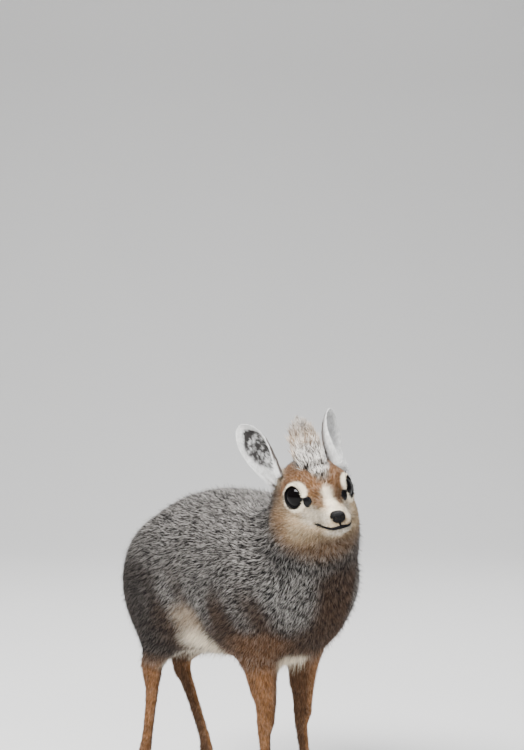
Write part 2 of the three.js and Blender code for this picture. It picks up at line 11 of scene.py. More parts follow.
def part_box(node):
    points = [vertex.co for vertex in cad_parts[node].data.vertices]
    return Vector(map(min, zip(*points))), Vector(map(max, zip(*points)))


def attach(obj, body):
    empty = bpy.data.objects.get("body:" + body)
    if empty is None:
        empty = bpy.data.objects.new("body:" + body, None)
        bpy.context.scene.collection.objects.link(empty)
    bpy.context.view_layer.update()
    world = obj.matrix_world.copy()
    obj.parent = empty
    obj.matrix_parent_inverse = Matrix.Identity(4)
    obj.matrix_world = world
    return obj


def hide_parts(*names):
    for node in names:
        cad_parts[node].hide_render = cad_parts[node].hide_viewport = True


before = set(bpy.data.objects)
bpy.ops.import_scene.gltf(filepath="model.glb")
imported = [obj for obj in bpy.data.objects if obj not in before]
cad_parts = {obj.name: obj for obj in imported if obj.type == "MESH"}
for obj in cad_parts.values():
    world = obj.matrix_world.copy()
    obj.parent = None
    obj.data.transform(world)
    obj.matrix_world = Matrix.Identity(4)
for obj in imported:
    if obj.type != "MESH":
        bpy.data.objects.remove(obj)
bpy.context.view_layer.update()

bl_info = {
    "name": "Dik-dik",
    "version": (1, 0, 0),
    "blender": (4, 5, 0),
    "location": "View3D > Sidebar > Dik-dik",
    "description": "Dresses a young dik-dik with skin, coat, eyes, ears and a crest over its solids",
    "category": "Object",
}

FLESH = ["torso", "neck", "head", "tail", "foreleg_left", "foreleg_right", "hindleg_left", "hindleg_right"]
SIDES = {"left": 1.0, "right": -1.0}

TRIANGLES_A_PIECE = 190000

# Cells of the fine meshes, and how far solids are pushed out to run into each other, in metres
FINE_GRID = 0.0008
HOOF_GRID = 0.0006
NOSE_GRID = 0.0004
SWELL = 0.00035

# How the head is turned, in degrees, and where it is in the part's own drawing, in millimetres
HEAD_TURN = (9.0, 1.0, -27.0)
HEAD_PLACE = np.array([137.0, -26.0, 291.5])
EYE_PLACE = np.array([2.0, 16.0, 0.0])
EYE_GAZE = np.array([0.6, 0.79, 0.08])

# The pale ring round an eye: angles from the front by the top, in degrees, and how far it reaches there
RING_ANGLES = [0, 25, 55, 90, 130, 175, 250, 300, 335, 360]
RING_REACH = [12.8, 14.8, 13.8, 11.7, 11.0, 9.9, 10.4, 12.6, 13.0, 12.8]

# Each ear: its foot in the head, the way it points, its length and width, and how far it is turned out
EAR_FOOT = np.array([-23.0, 22.5, 10.5])
EAR_WAY = np.array([-41.0, 19.5, 44.8])
EAR_LONG = 64.0
EAR_WIDE = 30.0
EAR_OUT = {"left": 50.0, "right": 53.0}

# Half the width of an ear, as a share of the whole width, at shares of the way up it
EAR_UP = [0, 0.12, 0.26, 0.42, 0.57, 0.71, 0.83, 0.92, 0.98, 1]
EAR_HALF = [0.22, 0.27, 0.36, 0.45, 0.5, 0.49, 0.41, 0.29, 0.16, 0.08]

# The left ear's white runs further round its back than the right one's, and its marks are fainter
EAR_WHITE = {"left": 0.7, "right": 0.05}
EAR_MARKS = {"left": 0.25, "right": 1.0}

# The muzzle, in the head: the mouth from its middle to its corners, the split under the nose, and the gland
MOUTH_MIDDLE = 44.0
MOUTH_CORNER = 24.5
MOUTH_HALF = 13.5
MOUTH_SHARES = [0, 0.25, 0.5, 1]
MOUTH_HEIGHTS = [-22.2, -21.5, -20.6, -20.6]
NOSE_SPLIT = [[47.6, 0, -17.4], [47.0, 0, -18.8], [46.2, 0, -20.2], [45.2, 0, -21.4]]
GLAND_PLACE = np.array([19.2, 16.2, -2.9])

# Points of the tear line, toward the front and up from the eye's middle
TEAR_LINE = [(7.4, -0.4), (9.0, -1.0), (10.6, -1.6), (12.4, -2.3)]

# The height over the drawing's origin where the hair of the legs ends and the hooves begin
HOOF_TOP = 16.5

# The camera: how far it is turned and tipped down, and how far back, aside and up it is, in metres
CAMERA_TURN = math.radians(47.0)
CAMERA_TIP = math.radians(2.386)
CAMERA_BACK = 1.56
CAMERA_ASIDE = 0.029
CAMERA_UP = 0.446
CAMERA_LENS = 86.2


def turn_matrix(degrees):
    x, y, z = (math.radians(d) for d in degrees)
    return np.array(Matrix.Rotation(z, 3, "Z") @ Matrix.Rotation(y, 3, "Y") @ Matrix.Rotation(x, 3, "X"))


HEAD_AXES = turn_matrix(HEAD_TURN)


def middle(node):
    low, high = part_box(node)
    return (np.array(low) + np.array(high)) / 2


# Where the part's own drawing has its origin, in the frame, in metres: from where the eyes are
BETWEEN_EYES = (middle("eye_left") + middle("eye_right")) / 2
DRAWN_AT = BETWEEN_EYES - (HEAD_PLACE + HEAD_AXES @ np.array([EYE_PLACE[0], 0.0, 0.0])) / 1000


def drawn(points):
    """Points of the frame, in the drawing's millimetres."""
    return (points - DRAWN_AT) * 1000


def in_head(points):
    """Points of the frame, in the head's millimetres: X where it looks, Y to its left, Z up."""
    return (drawn(points) - HEAD_PLACE) @ HEAD_AXES


def from_head(points):
    """Places in the head, as points of the frame."""
    return (np.asarray(points, float) @ HEAD_AXES.T + HEAD_PLACE) / 1000 + DRAWN_AT


def ways_from_head(ways):
    return np.asarray(ways, float) @ HEAD_AXES.T


def smooth(low, high, x):
    t = np.clip((x - low) / (high - low), 0.0, 1.0)
    return t * t * (3 - 2 * t)


def mix(a, b, t):
    """a to b by t, where t may be one number to a point and a and b one row each or a row to a point."""
    a, b, t = np.asarray(a, float), np.asarray(b, float), np.asarray(t, float)
    if t.ndim and (a.ndim > t.ndim or b.ndim > t.ndim or a.shape == (3,)):
        t = t[..., None]
    return a + (b - a) * t


def about(points, centre, radii, soft):
    """1 inside an egg shape and 0 outside, with a soft rim."""
    r = np.linalg.norm((points - np.array(centre)) / np.array(radii), axis=1)
    return 1 - smooth(1 - soft, 1 + soft, r)


def folded(points):
    """Points with the right side laid onto the left one."""
    return points * [1, 0, 1] + np.abs(points) * [0, 1, 0]


def unit(v):
    return v / np.maximum(np.linalg.norm(v, axis=-1, keepdims=True), 1e-9)


def linear(code):
    """A hex colour in linear light."""
    rgb = np.array([int(code[i : i + 2], 16) for i in (1, 3, 5)]) / 255
    return np.where(rgb <= 0.04045, rgb / 12.92, ((rgb + 0.055) / 1.055) ** 2.4)


def waves(points, size, seed):
    """Soft noise between 0 and 1 with patches about size across."""
    rng = np.random.default_rng(seed)
    total = np.zeros(len(points))
    for _ in range(7):
        way = unit(rng.normal(size=3)) * 2 * math.pi / size * rng.uniform(0.6, 1.5)
        total += np.sin(points @ way + rng.uniform(0, 6.28))
    return smooth(-2.6, 2.6, total)


# Sizes and colours that a user would change


def length_of(name, description, default):
    return bpy.props.FloatProperty(name=name, description=description, default=default, unit="LENGTH")


def number_of(name, description, default):
    return bpy.props.FloatProperty(name=name, description=description, default=default)


class DikDikSizes(bpy.types.PropertyGroup):
    back_hair: length_of("Back hair", "Length of a tuft on the back", 0.0060)
    face_hair: length_of("Face hair", "Length of a tuft on the face", 0.0040)
    leg_hair: length_of("Leg hair", "Length of a tuft on the legs", 0.0044)
    crest_hair: length_of("Crest hair", "Length of a lock of the crest", 0.0105)
    back_width: length_of("Tuft width", "Width of a tuft on the back", 0.0008)
    body_density: number_of("Body density", "Tufts to a square millimetre on the body", 1.85)
    face_density: number_of("Face density", "Tufts to a square millimetre on the face", 2.6)
    leg_density: number_of("Leg density", "Tufts to a square millimetre on the legs", 1.7)
    skin_grid: length_of("Skin grid", "Cell size of the skin's mesh", 0.0015)
    eye_radius: length_of("Eye radius", "Radius of an eye", 0.012)
    lash: length_of("Lash", "Length of an upper eyelash", 0.0062)


def tint(name, description, code):
    return bpy.props.FloatVectorProperty(
        name=name,
        description=description,
        subtype="COLOR",
        size=3,
        min=0,
        max=1,
        default=tuple(linear(code)),
    )


class DikDikTints(bpy.types.PropertyGroup):
    dark_hair: tint("Dark hair", "Dark bands of the grizzled coat", "#0f0e0f")
    gray_hair: tint("Gray hair", "Middle bands of the grizzled coat", "#6d6a68")
    pale_hair: tint("Pale hair", "Pale bands of the grizzled coat", "#e9e4dc")
    brown_hair: tint("Brown hair", "Low flanks and shoulders", "#5f4736")
    tan_hair: tint("Tan hair", "Legs", "#a27045")
    rufous_hair: tint("Rufous hair", "Forehead and bridge of the nose", "#94663b")
    cheek_hair: tint("Cheek hair", "Cheeks and throat", "#d4b891")
    cream_hair: tint("Cream hair", "Belly, eye rings and lips", "#faecd2")
    bare_black: tint("Bare black", "Nose, lids and glands", "#050405")
    horn: tint("Horn", "Hooves", "#2a2421")
    eye_brown: tint("Eye brown", "Iris", "#060404")
    floor: tint("Floor", "Studio floor", "#dddcda")


def sizes():
    return bpy.context.scene.dikdik_sizes


def hair(name):
    return np.array(getattr(bpy.context.scene.dikdik_tints, name))


# Meshes


def mesh_object(name, points, triangles, finish, colours=None, patch=None):
    """A smooth mesh of triangles. colours and patch may give each point's colour and OFBake place."""
    mesh = bpy.data.meshes.new(name)
    count = len(triangles)
    mesh.vertices.add(len(points))
    mesh.vertices.foreach_set("co", np.ascontiguousarray(points, dtype=np.float32).ravel())
    mesh.loops.add(count * 3)
    mesh.loops.foreach_set("vertex_index", np.ascontiguousarray(triangles, dtype=np.int32).ravel())
    mesh.polygons.add(count)
    mesh.polygons.foreach_set("loop_start", np.arange(0, count * 3, 3, dtype=np.int32))
    mesh.polygons.foreach_set("use_smooth", np.ones(count, dtype=bool))
    mesh.update()
    mesh.validate()
    if colours is not None:
        paint(mesh, colours)
    if patch is not None:
        layer = mesh.uv_layers.new(name="OFBake")
        layer.data.foreach_set("uv", patch[triangles.ravel()].astype(np.float32).ravel())
    mesh.materials.append(finish)
    made = bpy.data.objects.new(name, mesh)
    bpy.context.collection.objects.link(made)
    return made


def paint(mesh, colours):
    layer = mesh.color_attributes.new("coat_colour", "FLOAT_COLOR", "POINT")
    rgba = np.ones((len(mesh.vertices), 4), dtype=np.float32)
    rgba[:, :3] = colours
    layer.data.foreach_set("color", rgba.ravel())


def mesh_points(mesh):
    points = np.empty(len(mesh.vertices) * 3, dtype=np.float32)
    mesh.vertices.foreach_get("co", points)
    return points.reshape(-1, 3).astype(float)


def mesh_triangles(mesh):
    mesh.calc_loop_triangles()
    triangles = np.empty(len(mesh.loop_triangles) * 3, dtype=np.int32)
    mesh.loop_triangles.foreach_get("vertices", triangles)
    return triangles.reshape(-1, 3)


def point_normals(points, triangles):
    a, b, c = (points[triangles[:, i]] for i in range(3))
    faces = np.cross(b - a, c - a)
    total = np.zeros_like(points)
    for i in range(3):
        np.add.at(total, triangles[:, i], faces)
    return unit(total)


def merged_copy(nodes, swell):
    """One mesh of copies of these solids, merged and pushed out a little to run into each other."""
    whole = bmesh.new()
    for name in nodes:
        one = bmesh.new()
        one.from_mesh(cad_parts[name].data)
        bmesh.ops.remove_doubles(one, verts=one.verts, dist=2e-6)
        one.normal_update()
        shifted = [v.co + v.normal * swell for v in one.verts]
        for v, co in zip(one.verts, shifted):
            v.co = co
        piece = bpy.data.meshes.new("piece")
        one.to_mesh(piece)
        one.free()
        whole.from_mesh(piece)
        bpy.data.meshes.remove(piece)
    mesh = bpy.data.meshes.new("merged")
    whole.to_mesh(mesh)
    whole.free()
    return mesh


def remeshed(nodes, grid, rounds, swell=SWELL, factor=0.5):
    """Points and triangles of solids grown together on an even grid and smoothed."""
    made = bpy.data.objects.new("grown", merged_copy(nodes, swell))
    bpy.context.collection.objects.link(made)
    remesh = made.modifiers.new("grid", "REMESH")
    remesh.mode = "VOXEL"
    remesh.voxel_size = grid
    ease = made.modifiers.new("ease", "SMOOTH")
    ease.factor = factor
    ease.iterations = rounds
    result = bpy.data.meshes.new_from_object(made.evaluated_get(bpy.context.evaluated_depsgraph_get()))
    points, triangles = mesh_points(result), mesh_triangles(result)
    bpy.data.objects.remove(made)
    bpy.data.meshes.remove(result)
    return points, triangles


def ridden(made, slot, *nodes):
    """Sets a piece on the one body, in place of these nodes. slot is not used."""
    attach(made, "root")
    if nodes:
        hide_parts(*nodes)
    return made


# Where on the body a point is

# Regions as eggs: the centre and the radii in millimetres, and how soft the rim is.
# Those of the head are in the head and the same on both sides.
ON_HEAD = {
    "muzzle": ([42, 0, -15], [12, 10, 9], 0.45),
    "round_eye": ([2, 18, 0], [15, 12, 13], 0.25),
    "round_mouth": ([34, 0, -20], [26, 24, 14], 0.1),
    "forehead": ([13, 0, 18], [9, 6, 9], 0.5),
    "crown": ([-8, 0, 26], [18, 12, 12], 0.5),
    "cheek_front": ([21, 15, -14], [11, 8, 9], 0.5),
    "snout_side": ([36, 9, -15], [11, 6, 7], 0.5),
    "lower_lip": ([36, 0, -26], [12, 12, 4.5], 0.5),
    "chin": ([41, 0, -24.5], [9, 9, 5], 0.4),
    "bridge_side": ([27, 8.8, -1], [9, 4.4, 7], 0.5),
    "blaze_top": ([25, 0, 2], [7, 3.7, 6], 0.5),
    "blaze_middle": ([33, 0, -5], [11, 4.7, 6.5], 0.45),
    "blaze_foot": ([41, 0, -9], [7, 6.4, 4.6], 0.35),
    "temple": ([-20, 27, -2], [10, 14, 16], 0.6),
    "ear_root": ([-22, 23, 10], [9, 8, 8], 0.5),
    "black_nose": ([45, 0, -14.6], [7, 5.6, 4.9], 0.15),
    "bare_nose": ([46, 0, -14.5], [7, 5.6, 4.9], 0.1),
    "short_muzzle": ([40, 0, -16], [22, 16, 16], 0.5),
    "short_eye": ([6, 19, 2], [17, 12, 17], 0.3),
    "long_jaw": ([4, 20, -36], [26, 22, 14], 0.5),
    "long_ear_root": ([-22, 23, 8], [10, 8, 9], 0.5),
}

# In the drawing, and the same on both sides
BESIDE_TRUNK = {
    "shoulder": ([118, 36, 206], [22, 20, 34], 0.45),
    "over_foreleg": ([88, 42, 163], [28, 22, 12], 0.5),
    "flank": ([9, 54, 177], [19, 20, 14], 0.5),
    "groin": ([15, 44, 157], [22, 20, 14], 0.42),
    "long_groin": ([10, 42, 158], [26, 20, 16], 0.45),
}

# In the drawing
ON_TRUNK = {
    "breast": ([134, 4, 196], [27, 36, 56], 0.4),
    # A painted shadow on the neck behind and under the jaw
    "painted_jaw_shadow": ([128, -20, 240], [40, 60, 12], 0.5),
    "between_forelegs": ([88, -6, 148], [13, 14, 11], 0.45),
    "long_between_forelegs": ([84, 0, 146], [18, 24, 12], 0.45),
    "between_hindlegs": ([-44, 0, 142], [26, 11, 14], 0.35),
    "under_tail": ([-116, 0, 190], [14, 9, 40], 0.3),
}

# Where the locks of the crest are rooted in the skin, in the head
CREST_BED = ([-2, 0, 24], [21, 11, 16], 0.2)

EYE_UP = unit(np.array([0, 0, 1.0]) - unit(EYE_GAZE) * unit(EYE_GAZE)[2])
EYE_FRONT = np.cross(unit(EYE_GAZE), EYE_UP)


class Place:
    """Masks, 0 to 1, of the regions of the body at points of the frame."""

    def __init__(self, points, normals):
        self.p = drawn(points)
        self.h = in_head(points)
        self.n = normals
        from_eye = folded(self.h) - EYE_PLACE
        self.eye_front = from_eye @ EYE_FRONT
        self.eye_up = from_eye @ EYE_UP
        self.eye_side = smooth(2, 6, from_eye @ unit(EYE_GAZE))
        self.from_eye = np.hypot(self.eye_up, self.eye_front)
        along, height = self.p[:, 0], self.p[:, 2]
        self.face = 1 - smooth(0.92, 1.3, np.linalg.norm((self.h - [6, 0, -6]) / [46, 40, 42], axis=1))
        fore = smooth(-5, 30, along)
        self.leg = (1 - smooth(mix(114, 132, fore), mix(142, 164, fore), height)) * (1 - self.face)
        under = smooth(0.45, 0.85, -normals[:, 2])
        self.belly = under * (1 - smooth(158, 176, height)) * (1 - self.face)

    def head(self, name):
        return about(folded(self.h), *ON_HEAD[name])

    def beside(self, name):
        return about(folded(self.p), *BESIDE_TRUNK[name])

    def trunk(self, name):
        return about(self.p, *ON_TRUNK[name])

    def ring(self):
        """The pale ring round each eye, broadest in front and above."""
        angle = np.degrees(np.arctan2(self.eye_up, self.eye_front)) % 360
        rim = np.interp(angle, RING_ANGLES, RING_REACH)
        return (1 - smooth(rim - 0.7, rim + 1.2, self.from_eye)) * self.eye_side

    def opening(self, inner, outer):
        """The eye's opening, 1 up to inner from its middle and 0 beyond outer."""
        return (1 - smooth(inner, outer, self.from_eye)) * self.eye_side

    def gland(self):
        """The bare gland in front of each eye and the tear line that joins them."""
        spot = np.hypot((self.eye_front - 13.6) / 3.6, (self.eye_up + 3.3) / 4.4)
        t = np.clip((self.eye_front - 8) / 6.4, 0, 1)
        line = 1 - smooth(1.5, 2.3, np.abs(self.eye_up + 0.6 + 2.4 * t))
        line = line * smooth(6, 7, self.eye_front) * (1 - smooth(13, 15, self.eye_front))
        return np.maximum(1 - smooth(0.86, 1.1, spot), line) * self.eye_side

    def lips(self, reach=1.3):
        """Along the line of the mouth, once the skin has one."""
        near = np.full(len(self.h), 1e3)
        muzzle = np.flatnonzero(self.head("round_mouth") > 0)
        if "mouth" in skin and len(muzzle):
            gap = self.h[muzzle][:, None] - skin["mouth"][None]
            near[muzzle] = np.sqrt((gap**2).sum(-1)).min(1)
        return 1 - smooth(reach * 0.75, reach * 1.35, near)


def coat_depth(place):
    """How far the skin lies under the tips of the coat, in metres."""
    s = sizes()
    depth = mix(s.back_hair * 0.22, s.face_hair * 0.2, place.face)
    depth = mix(depth, s.leg_hair * 0.2, place.leg)
    bare = np.maximum(place.head("muzzle"), place.head("round_eye"))
    return depth * (1 - 0.75 * bare)


def lying(along, across, up):
    """One way to a point, from numbers and from arrays of one number to a point."""
    return np.stack(np.broadcast_arrays(along, across, up), 1)


def coat_lie(place):
    """The way that the hair lies: back along the trunk, down the legs, and up and back from the nose."""
    x, y, z = place.p.T
    side = np.sign(y)
    way = lying(-1.0, side * 0.1, -0.28 - 0.9 * (1 - smooth(165, 265, z)))
    rump = smooth(-40, -95, x)
    way = mix(way, lying(-0.35, side * 0.1, -1.0), rump)
    chest = smooth(78, 125, x) * (1 - smooth(262, 290, z))
    way = mix(way, lying(-0.25, side * 0.35, -1.0), chest)
    neck = smooth(258, 290, z) * smooth(60, 90, x)
    way = mix(way, lying(-1.0, side * 0.1, -0.75), neck)
    way = mix(way, lying(-1.0, -side * 0.25, -0.35), place.belly * (1 - place.leg))
    way = mix(way, lying(-0.16, side * 0.04, -1.0), place.leg)
    way = mix(way, ways_from_head(head_lie(place)), place.face)
    turn = np.cross(place.n, way) * (waves(place.p, 38.0, 3) - 0.5)[:, None]
    way = way + turn * mix(0.5, 0.3, np.maximum(place.face, place.leg))[:, None]
    way = way - place.n * np.sum(way * place.n, axis=1, keepdims=True)
    return unit(way)


def head_lie(place):
    """The way that the hair of the head lies: back, rising over the crown and dropping at the jaw."""
    side = np.tanh(place.h[:, 1] / 4)
    height = place.h[:, 2]
    way = mix(lying(-1.0, 0.35 * side, -0.25), lying(-0.9, 0.3 * side, 0.5), smooth(-8, 14, height))
    return mix(way, lying(-1.0, 0.25 * side, -0.55), smooth(-14, -32, height))


def markings(place):
    """The middle colour of the coat, and how grizzled it is: 0 is plain, and 1 has dark and pale hair."""
    colour, grizzle = body_markings(place)
    head, head_grizzle = head_markings(place)
    colour = mix(colour, head, place.face)
    grizzle = mix(grizzle, head_grizzle, place.face)
    shade = 0.88 + 0.24 * waves(place.p, 15.0, 9)
    return colour * shade[:, None], np.clip(grizzle, 0, 1)


def body_markings(place):
    x, y, z = place.p.T
    gray, brown, tan, cream = (hair(n) for n in ("gray_hair", "brown_hair", "tan_hair", "cream_hair"))
    dark = hair("dark_hair")
    patchy = waves(place.p, 42.0, 5)
    low = 1 - smooth(172, 216, z + 30 * (patchy - 0.5))
    colour = mix(mix(gray, brown, 0.15), brown * 0.58, 0.94 * low)
    grizzle = 1.0 - 0.4 * low
    rump = smooth(-5, -50, x) * (1 - smooth(195, 250, z))
    colour = mix(colour, mix(dark, mix(gray, brown, 0.4), 0.32), 0.92 * rump)
    grizzle = mix(grizzle, 0.8, rump)
    breast = place.trunk("breast")
    colour = mix(colour, brown * 0.68, 0.92 * breast)
    grizzle = grizzle * (1 - 0.35 * breast)
    shoulder = place.beside("shoulder")
    colour = mix(colour, gray, 0.8 * shoulder)
    grizzle = mix(grizzle, 1.0, 0.8 * shoulder)
    # Painted shadow on the neck behind and under the jaw, darkened toward black
    colour = mix(colour, mix(dark, gray, 0.3), 0.5 * place.trunk("painted_jaw_shadow"))
    over_foreleg, flank = place.beside("over_foreleg"), place.beside("flank")
    colour = mix(colour, mix(tan, brown, 0.45), 0.6 * over_foreleg)
    colour = mix(colour, mix(tan, cream, 0.5), 0.72 * flank)
    grizzle = grizzle * (1 - 0.6 * np.maximum(over_foreleg, flank))
    colour = mix(colour, leg_colour(place, tan, brown), place.leg)
    grizzle = mix(grizzle, 0.2, place.leg)
    middle_line = 1 - smooth(16, 30, np.abs(y))
    white = 0.9 * place.belly * middle_line * (1 - smooth(58, 74, x))
    for more in (place.beside("groin"), place.trunk("between_forelegs"), place.trunk("between_hindlegs")):
        white = np.maximum(white, more)
    colour = mix(colour, mix(cream, tan, 0.1), white)
    grizzle = grizzle * (1 - 0.85 * white)
    colour = mix(colour, mix(brown, tan, 0.5), 0.8 * place.trunk("under_tail"))
    return colour, grizzle


def leg_colour(place, tan, brown):
    """Tan legs, browner at the feet, with a painted highlight on their fronts and painted shade on their
    inner sides.
    """
    x_way, y_way = place.n[:, 0], place.n[:, 1]
    height = place.p[:, 2]
    leg = mix(tan, brown * 0.85, 0.6 * (1 - smooth(18, 50, height)))
    # A painted highlight on the fronts of the legs, where they face the light
    leg = mix(leg, tan * 1.1, 0.6 * smooth(0.1, 0.8, x_way) * smooth(40, 80, height))
    # Painted shade on the inner sides of the legs, which face each other and the body
    inner = smooth(0.15, -0.55, y_way * np.sign(place.p[:, 1]))
    return mix(leg, mix(leg, brown, 0.5) * 0.6, inner)


def head_markings(place):
    hx, hy, hz = place.h.T
    gray, brown = hair("gray_hair"), hair("brown_hair")
    cream, cheek, rufous = hair("cream_hair"), hair("cheek_hair"), hair("rufous_hair")
    head = mix(cheek, rufous, smooth(-8, 6, hz))
    head = mix(head, mix(rufous, brown, 0.7) * 0.9, 0.9 * (1 - smooth(-40, -24, hz)))
    head = mix(head, rufous * 0.9, 0.7 * smooth(24, 34, np.abs(hy)) * (1 - smooth(-6, 4, hz)))
    grizzle = np.full(len(hx), 0.3)
    crown = np.maximum(place.head("forehead"), place.head("crown"))
    head = mix(head, mix(gray, cream, 0.35), 0.85 * crown)
    grizzle = mix(grizzle, 1.0, crown)
    head = mix(head, mix(cream, gray, 0.3), 0.8 * place.head("cheek_front"))
    snout = np.maximum(place.head("snout_side"), place.head("lower_lip"))
    head = mix(head, mix(cream, gray, 0.3), 0.8 * snout)
    head = mix(head, rufous * 0.75, 0.9 * place.head("bridge_side"))
    head = mix(head, mix(cream, gray, 0.5), 0.85 * place.head("chin"))
    blaze = np.maximum(place.head("blaze_top"), place.head("blaze_middle"))
    blaze = np.maximum(blaze, place.head("blaze_foot"))
    head = mix(head, cream * 1.04, 0.92 * blaze)
    grizzle = grizzle * (1 - 0.8 * blaze)
    head = mix(head, mix(brown, gray, 0.5), 0.5 * place.head("temple"))
    ear_root = place.head("ear_root")
    head = mix(head, mix(cream, cheek, 0.4), 0.7 * ear_root)
    behind = smooth(-15, -25, hx + 0.12 * hz) * (1 - ear_root)
    head = mix(head, mix(gray, brown, 0.35) * 0.8, 0.92 * behind)
    grizzle = mix(grizzle, 1.0, behind)
    ring = place.ring()
    head = mix(head, cream * 1.05, 0.96 * ring)
    grizzle = grizzle * (1 - 0.95 * ring)
    black = np.maximum(place.gland(), np.maximum(place.lips(), place.head("black_nose")))
    black = np.maximum(black, place.opening(9.3, 10.0))
    head = mix(head, hair("bare_black"), 0.97 * black)
    grizzle = grizzle * (1 - black)
    return head, grizzle


# Materials


def new_group(name, inputs, outputs):
    tree = bpy.data.node_groups.new(name, "ShaderNodeTree")
    for label, kind, value in inputs:
        socket = tree.interface.new_socket(label, in_out="INPUT", socket_type=kind)
        socket.default_value = value
    for label, kind in outputs:
        tree.interface.new_socket(label, in_out="OUTPUT", socket_type=kind)
    return tree, tree.nodes.new("NodeGroupInput"), tree.nodes.new("NodeGroupOutput")


def mottle_group():
    """Shades a colour in soft patches and fine flecks, and gives a fine height for bumps."""
    if "Mottle" in bpy.data.node_groups:
        return bpy.data.node_groups["Mottle"]
    tree, given, put = new_group(
        "Mottle",
        [
            ("Colour", "NodeSocketColor", (0.5, 0.5, 0.5, 1)),
            ("Patch Scale", "NodeSocketFloat", 60.0),
            ("Fleck Scale", "NodeSocketFloat", 900.0),
            ("Strength", "NodeSocketFloat", 0.3),
        ],
        [("Colour", "NodeSocketColor"), ("Height", "NodeSocketFloat")],
    )
    nodes, links = tree.nodes, tree.links
    where = nodes.new("ShaderNodeTexCoord")
    patch = nodes.new("ShaderNodeTexNoise")
    patch.inputs["Detail"].default_value = 3
    fleck = nodes.new("ShaderNodeTexNoise")
    fleck.inputs["Detail"].default_value = 2
    links.new(where.outputs["Object"], patch.inputs["Vector"])
    links.new(where.outputs["Object"], fleck.inputs["Vector"])
    links.new(given.outputs["Patch Scale"], patch.inputs["Scale"])
    links.new(given.outputs["Fleck Scale"], fleck.inputs["Scale"])
    both = nodes.new("ShaderNodeMath")
    both.operation = "ADD"
    links.new(patch.outputs["Fac"], both.inputs[0])
    links.new(fleck.outputs["Fac"], both.inputs[1])
    shade = nodes.new("ShaderNodeMath")
    shade.operation = "MULTIPLY_ADD"
    links.new(both.outputs[0], shade.inputs[0])
    links.new(given.outputs["Strength"], shade.inputs[1])
    rest = nodes.new("ShaderNodeMath")
    rest.operation = "SUBTRACT"
    rest.inputs[0].default_value = 1.0
    links.new(given.outputs["Strength"], rest.inputs[1])
    links.new(rest.outputs[0], shade.inputs[2])
    tone = nodes.new("ShaderNodeVectorMath")
    tone.operation = "SCALE"
    links.new(given.outputs["Colour"], tone.inputs[0])
    links.new(shade.outputs[0], tone.inputs["Scale"])
    links.new(tone.outputs[0], put.inputs["Colour"])
    links.new(fleck.outputs["Fac"], put.inputs["Height"])
    return tree


def material(
    name,
    colour=None,
    roughness=0.6,
    specular=0.3,
    patch=60.0,
    fleck=900.0,
    strength=0.3,
    bump=0.0,
    reach=0.0004,
):
    """A finish: one colour, or the painted colours where colour is left out, mottled and with a fine bump.

    patch and fleck are the scales of the mottling and strength its depth.
    reach is the height of the bumps."""
    made = bpy.data.materials.new(name)
    made.use_nodes = True
    nodes, links = made.node_tree.nodes, made.node_tree.links
    shader = nodes["Principled BSDF"]
    shader.inputs["Roughness"].default_value = roughness
    shader.inputs["Specular IOR Level"].default_value = specular
    group = nodes.new("ShaderNodeGroup")
    group.node_tree = mottle_group()
    group.inputs["Patch Scale"].default_value = patch
    group.inputs["Fleck Scale"].default_value = fleck
    group.inputs["Strength"].default_value = strength
    if colour is None:
        painted = nodes.new("ShaderNodeAttribute")
        painted.attribute_name = "coat_colour"
        links.new(painted.outputs["Color"], group.inputs["Colour"])
    else:
        group.inputs["Colour"].default_value = (*colour, 1)
    links.new(group.outputs["Colour"], shader.inputs["Base Color"])
    if bump:
        relief = nodes.new("ShaderNodeBump")
        relief.inputs["Strength"].default_value = bump
        relief.inputs["Distance"].default_value = reach
        links.new(group.outputs["Height"], relief.inputs["Height"])
        links.new(relief.outputs["Normal"], shader.inputs["Normal"])
    return made


def black_finish(name, roughness, specular, patch=200.0, fleck=1500.0, strength=0.3, bump=0.3, reach=0.0004):
    """The finish of what is bare and black: the nose, the lids, the lips, the glands and the lashes."""
    return material(name, hair("bare_black"), roughness, specular, patch, fleck, strength, bump, reach)


# Tufts

# The way along which hair is parted into pieces
PARTING = np.array([1.0, 0.13, 0.31])

# A tuft's root lies a share of its length under the skin, and its back rises by a share of its width
ROOT_SUNK = 0.08
TUFT_BACK = 0.34

# How wide and long a tuft is on the OFBake map, and the margin of each chart of that map
BAKE_STEP = (0.0015, 0.003)
BAKE_MARGIN = 0.03


def grow(name, roots, normals, ways, length, width, lift, colours, slot, rng, finish):
    """Tufts as thin three-sided spikes from roots, in pieces small enough to keep.

    colours holds one colour to a ring for each tuft, from its root to its tip."""
    steps = colours.shape[1] - 1
    order = np.argsort(roots @ PARTING, kind="stable")
    pieces = max(1, math.ceil(len(order) * (6 * steps - 2) / TRIANGLES_A_PIECE))
    for k, chosen in enumerate(np.array_split(order, pieces)):
        label = name if pieces == 1 else f"{name}_{k + 1}"
        args = [v[chosen] for v in (roots, normals, ways, length, width, lift, colours)]
        ridden(grow_piece(label, *args, rng, finish), slot)


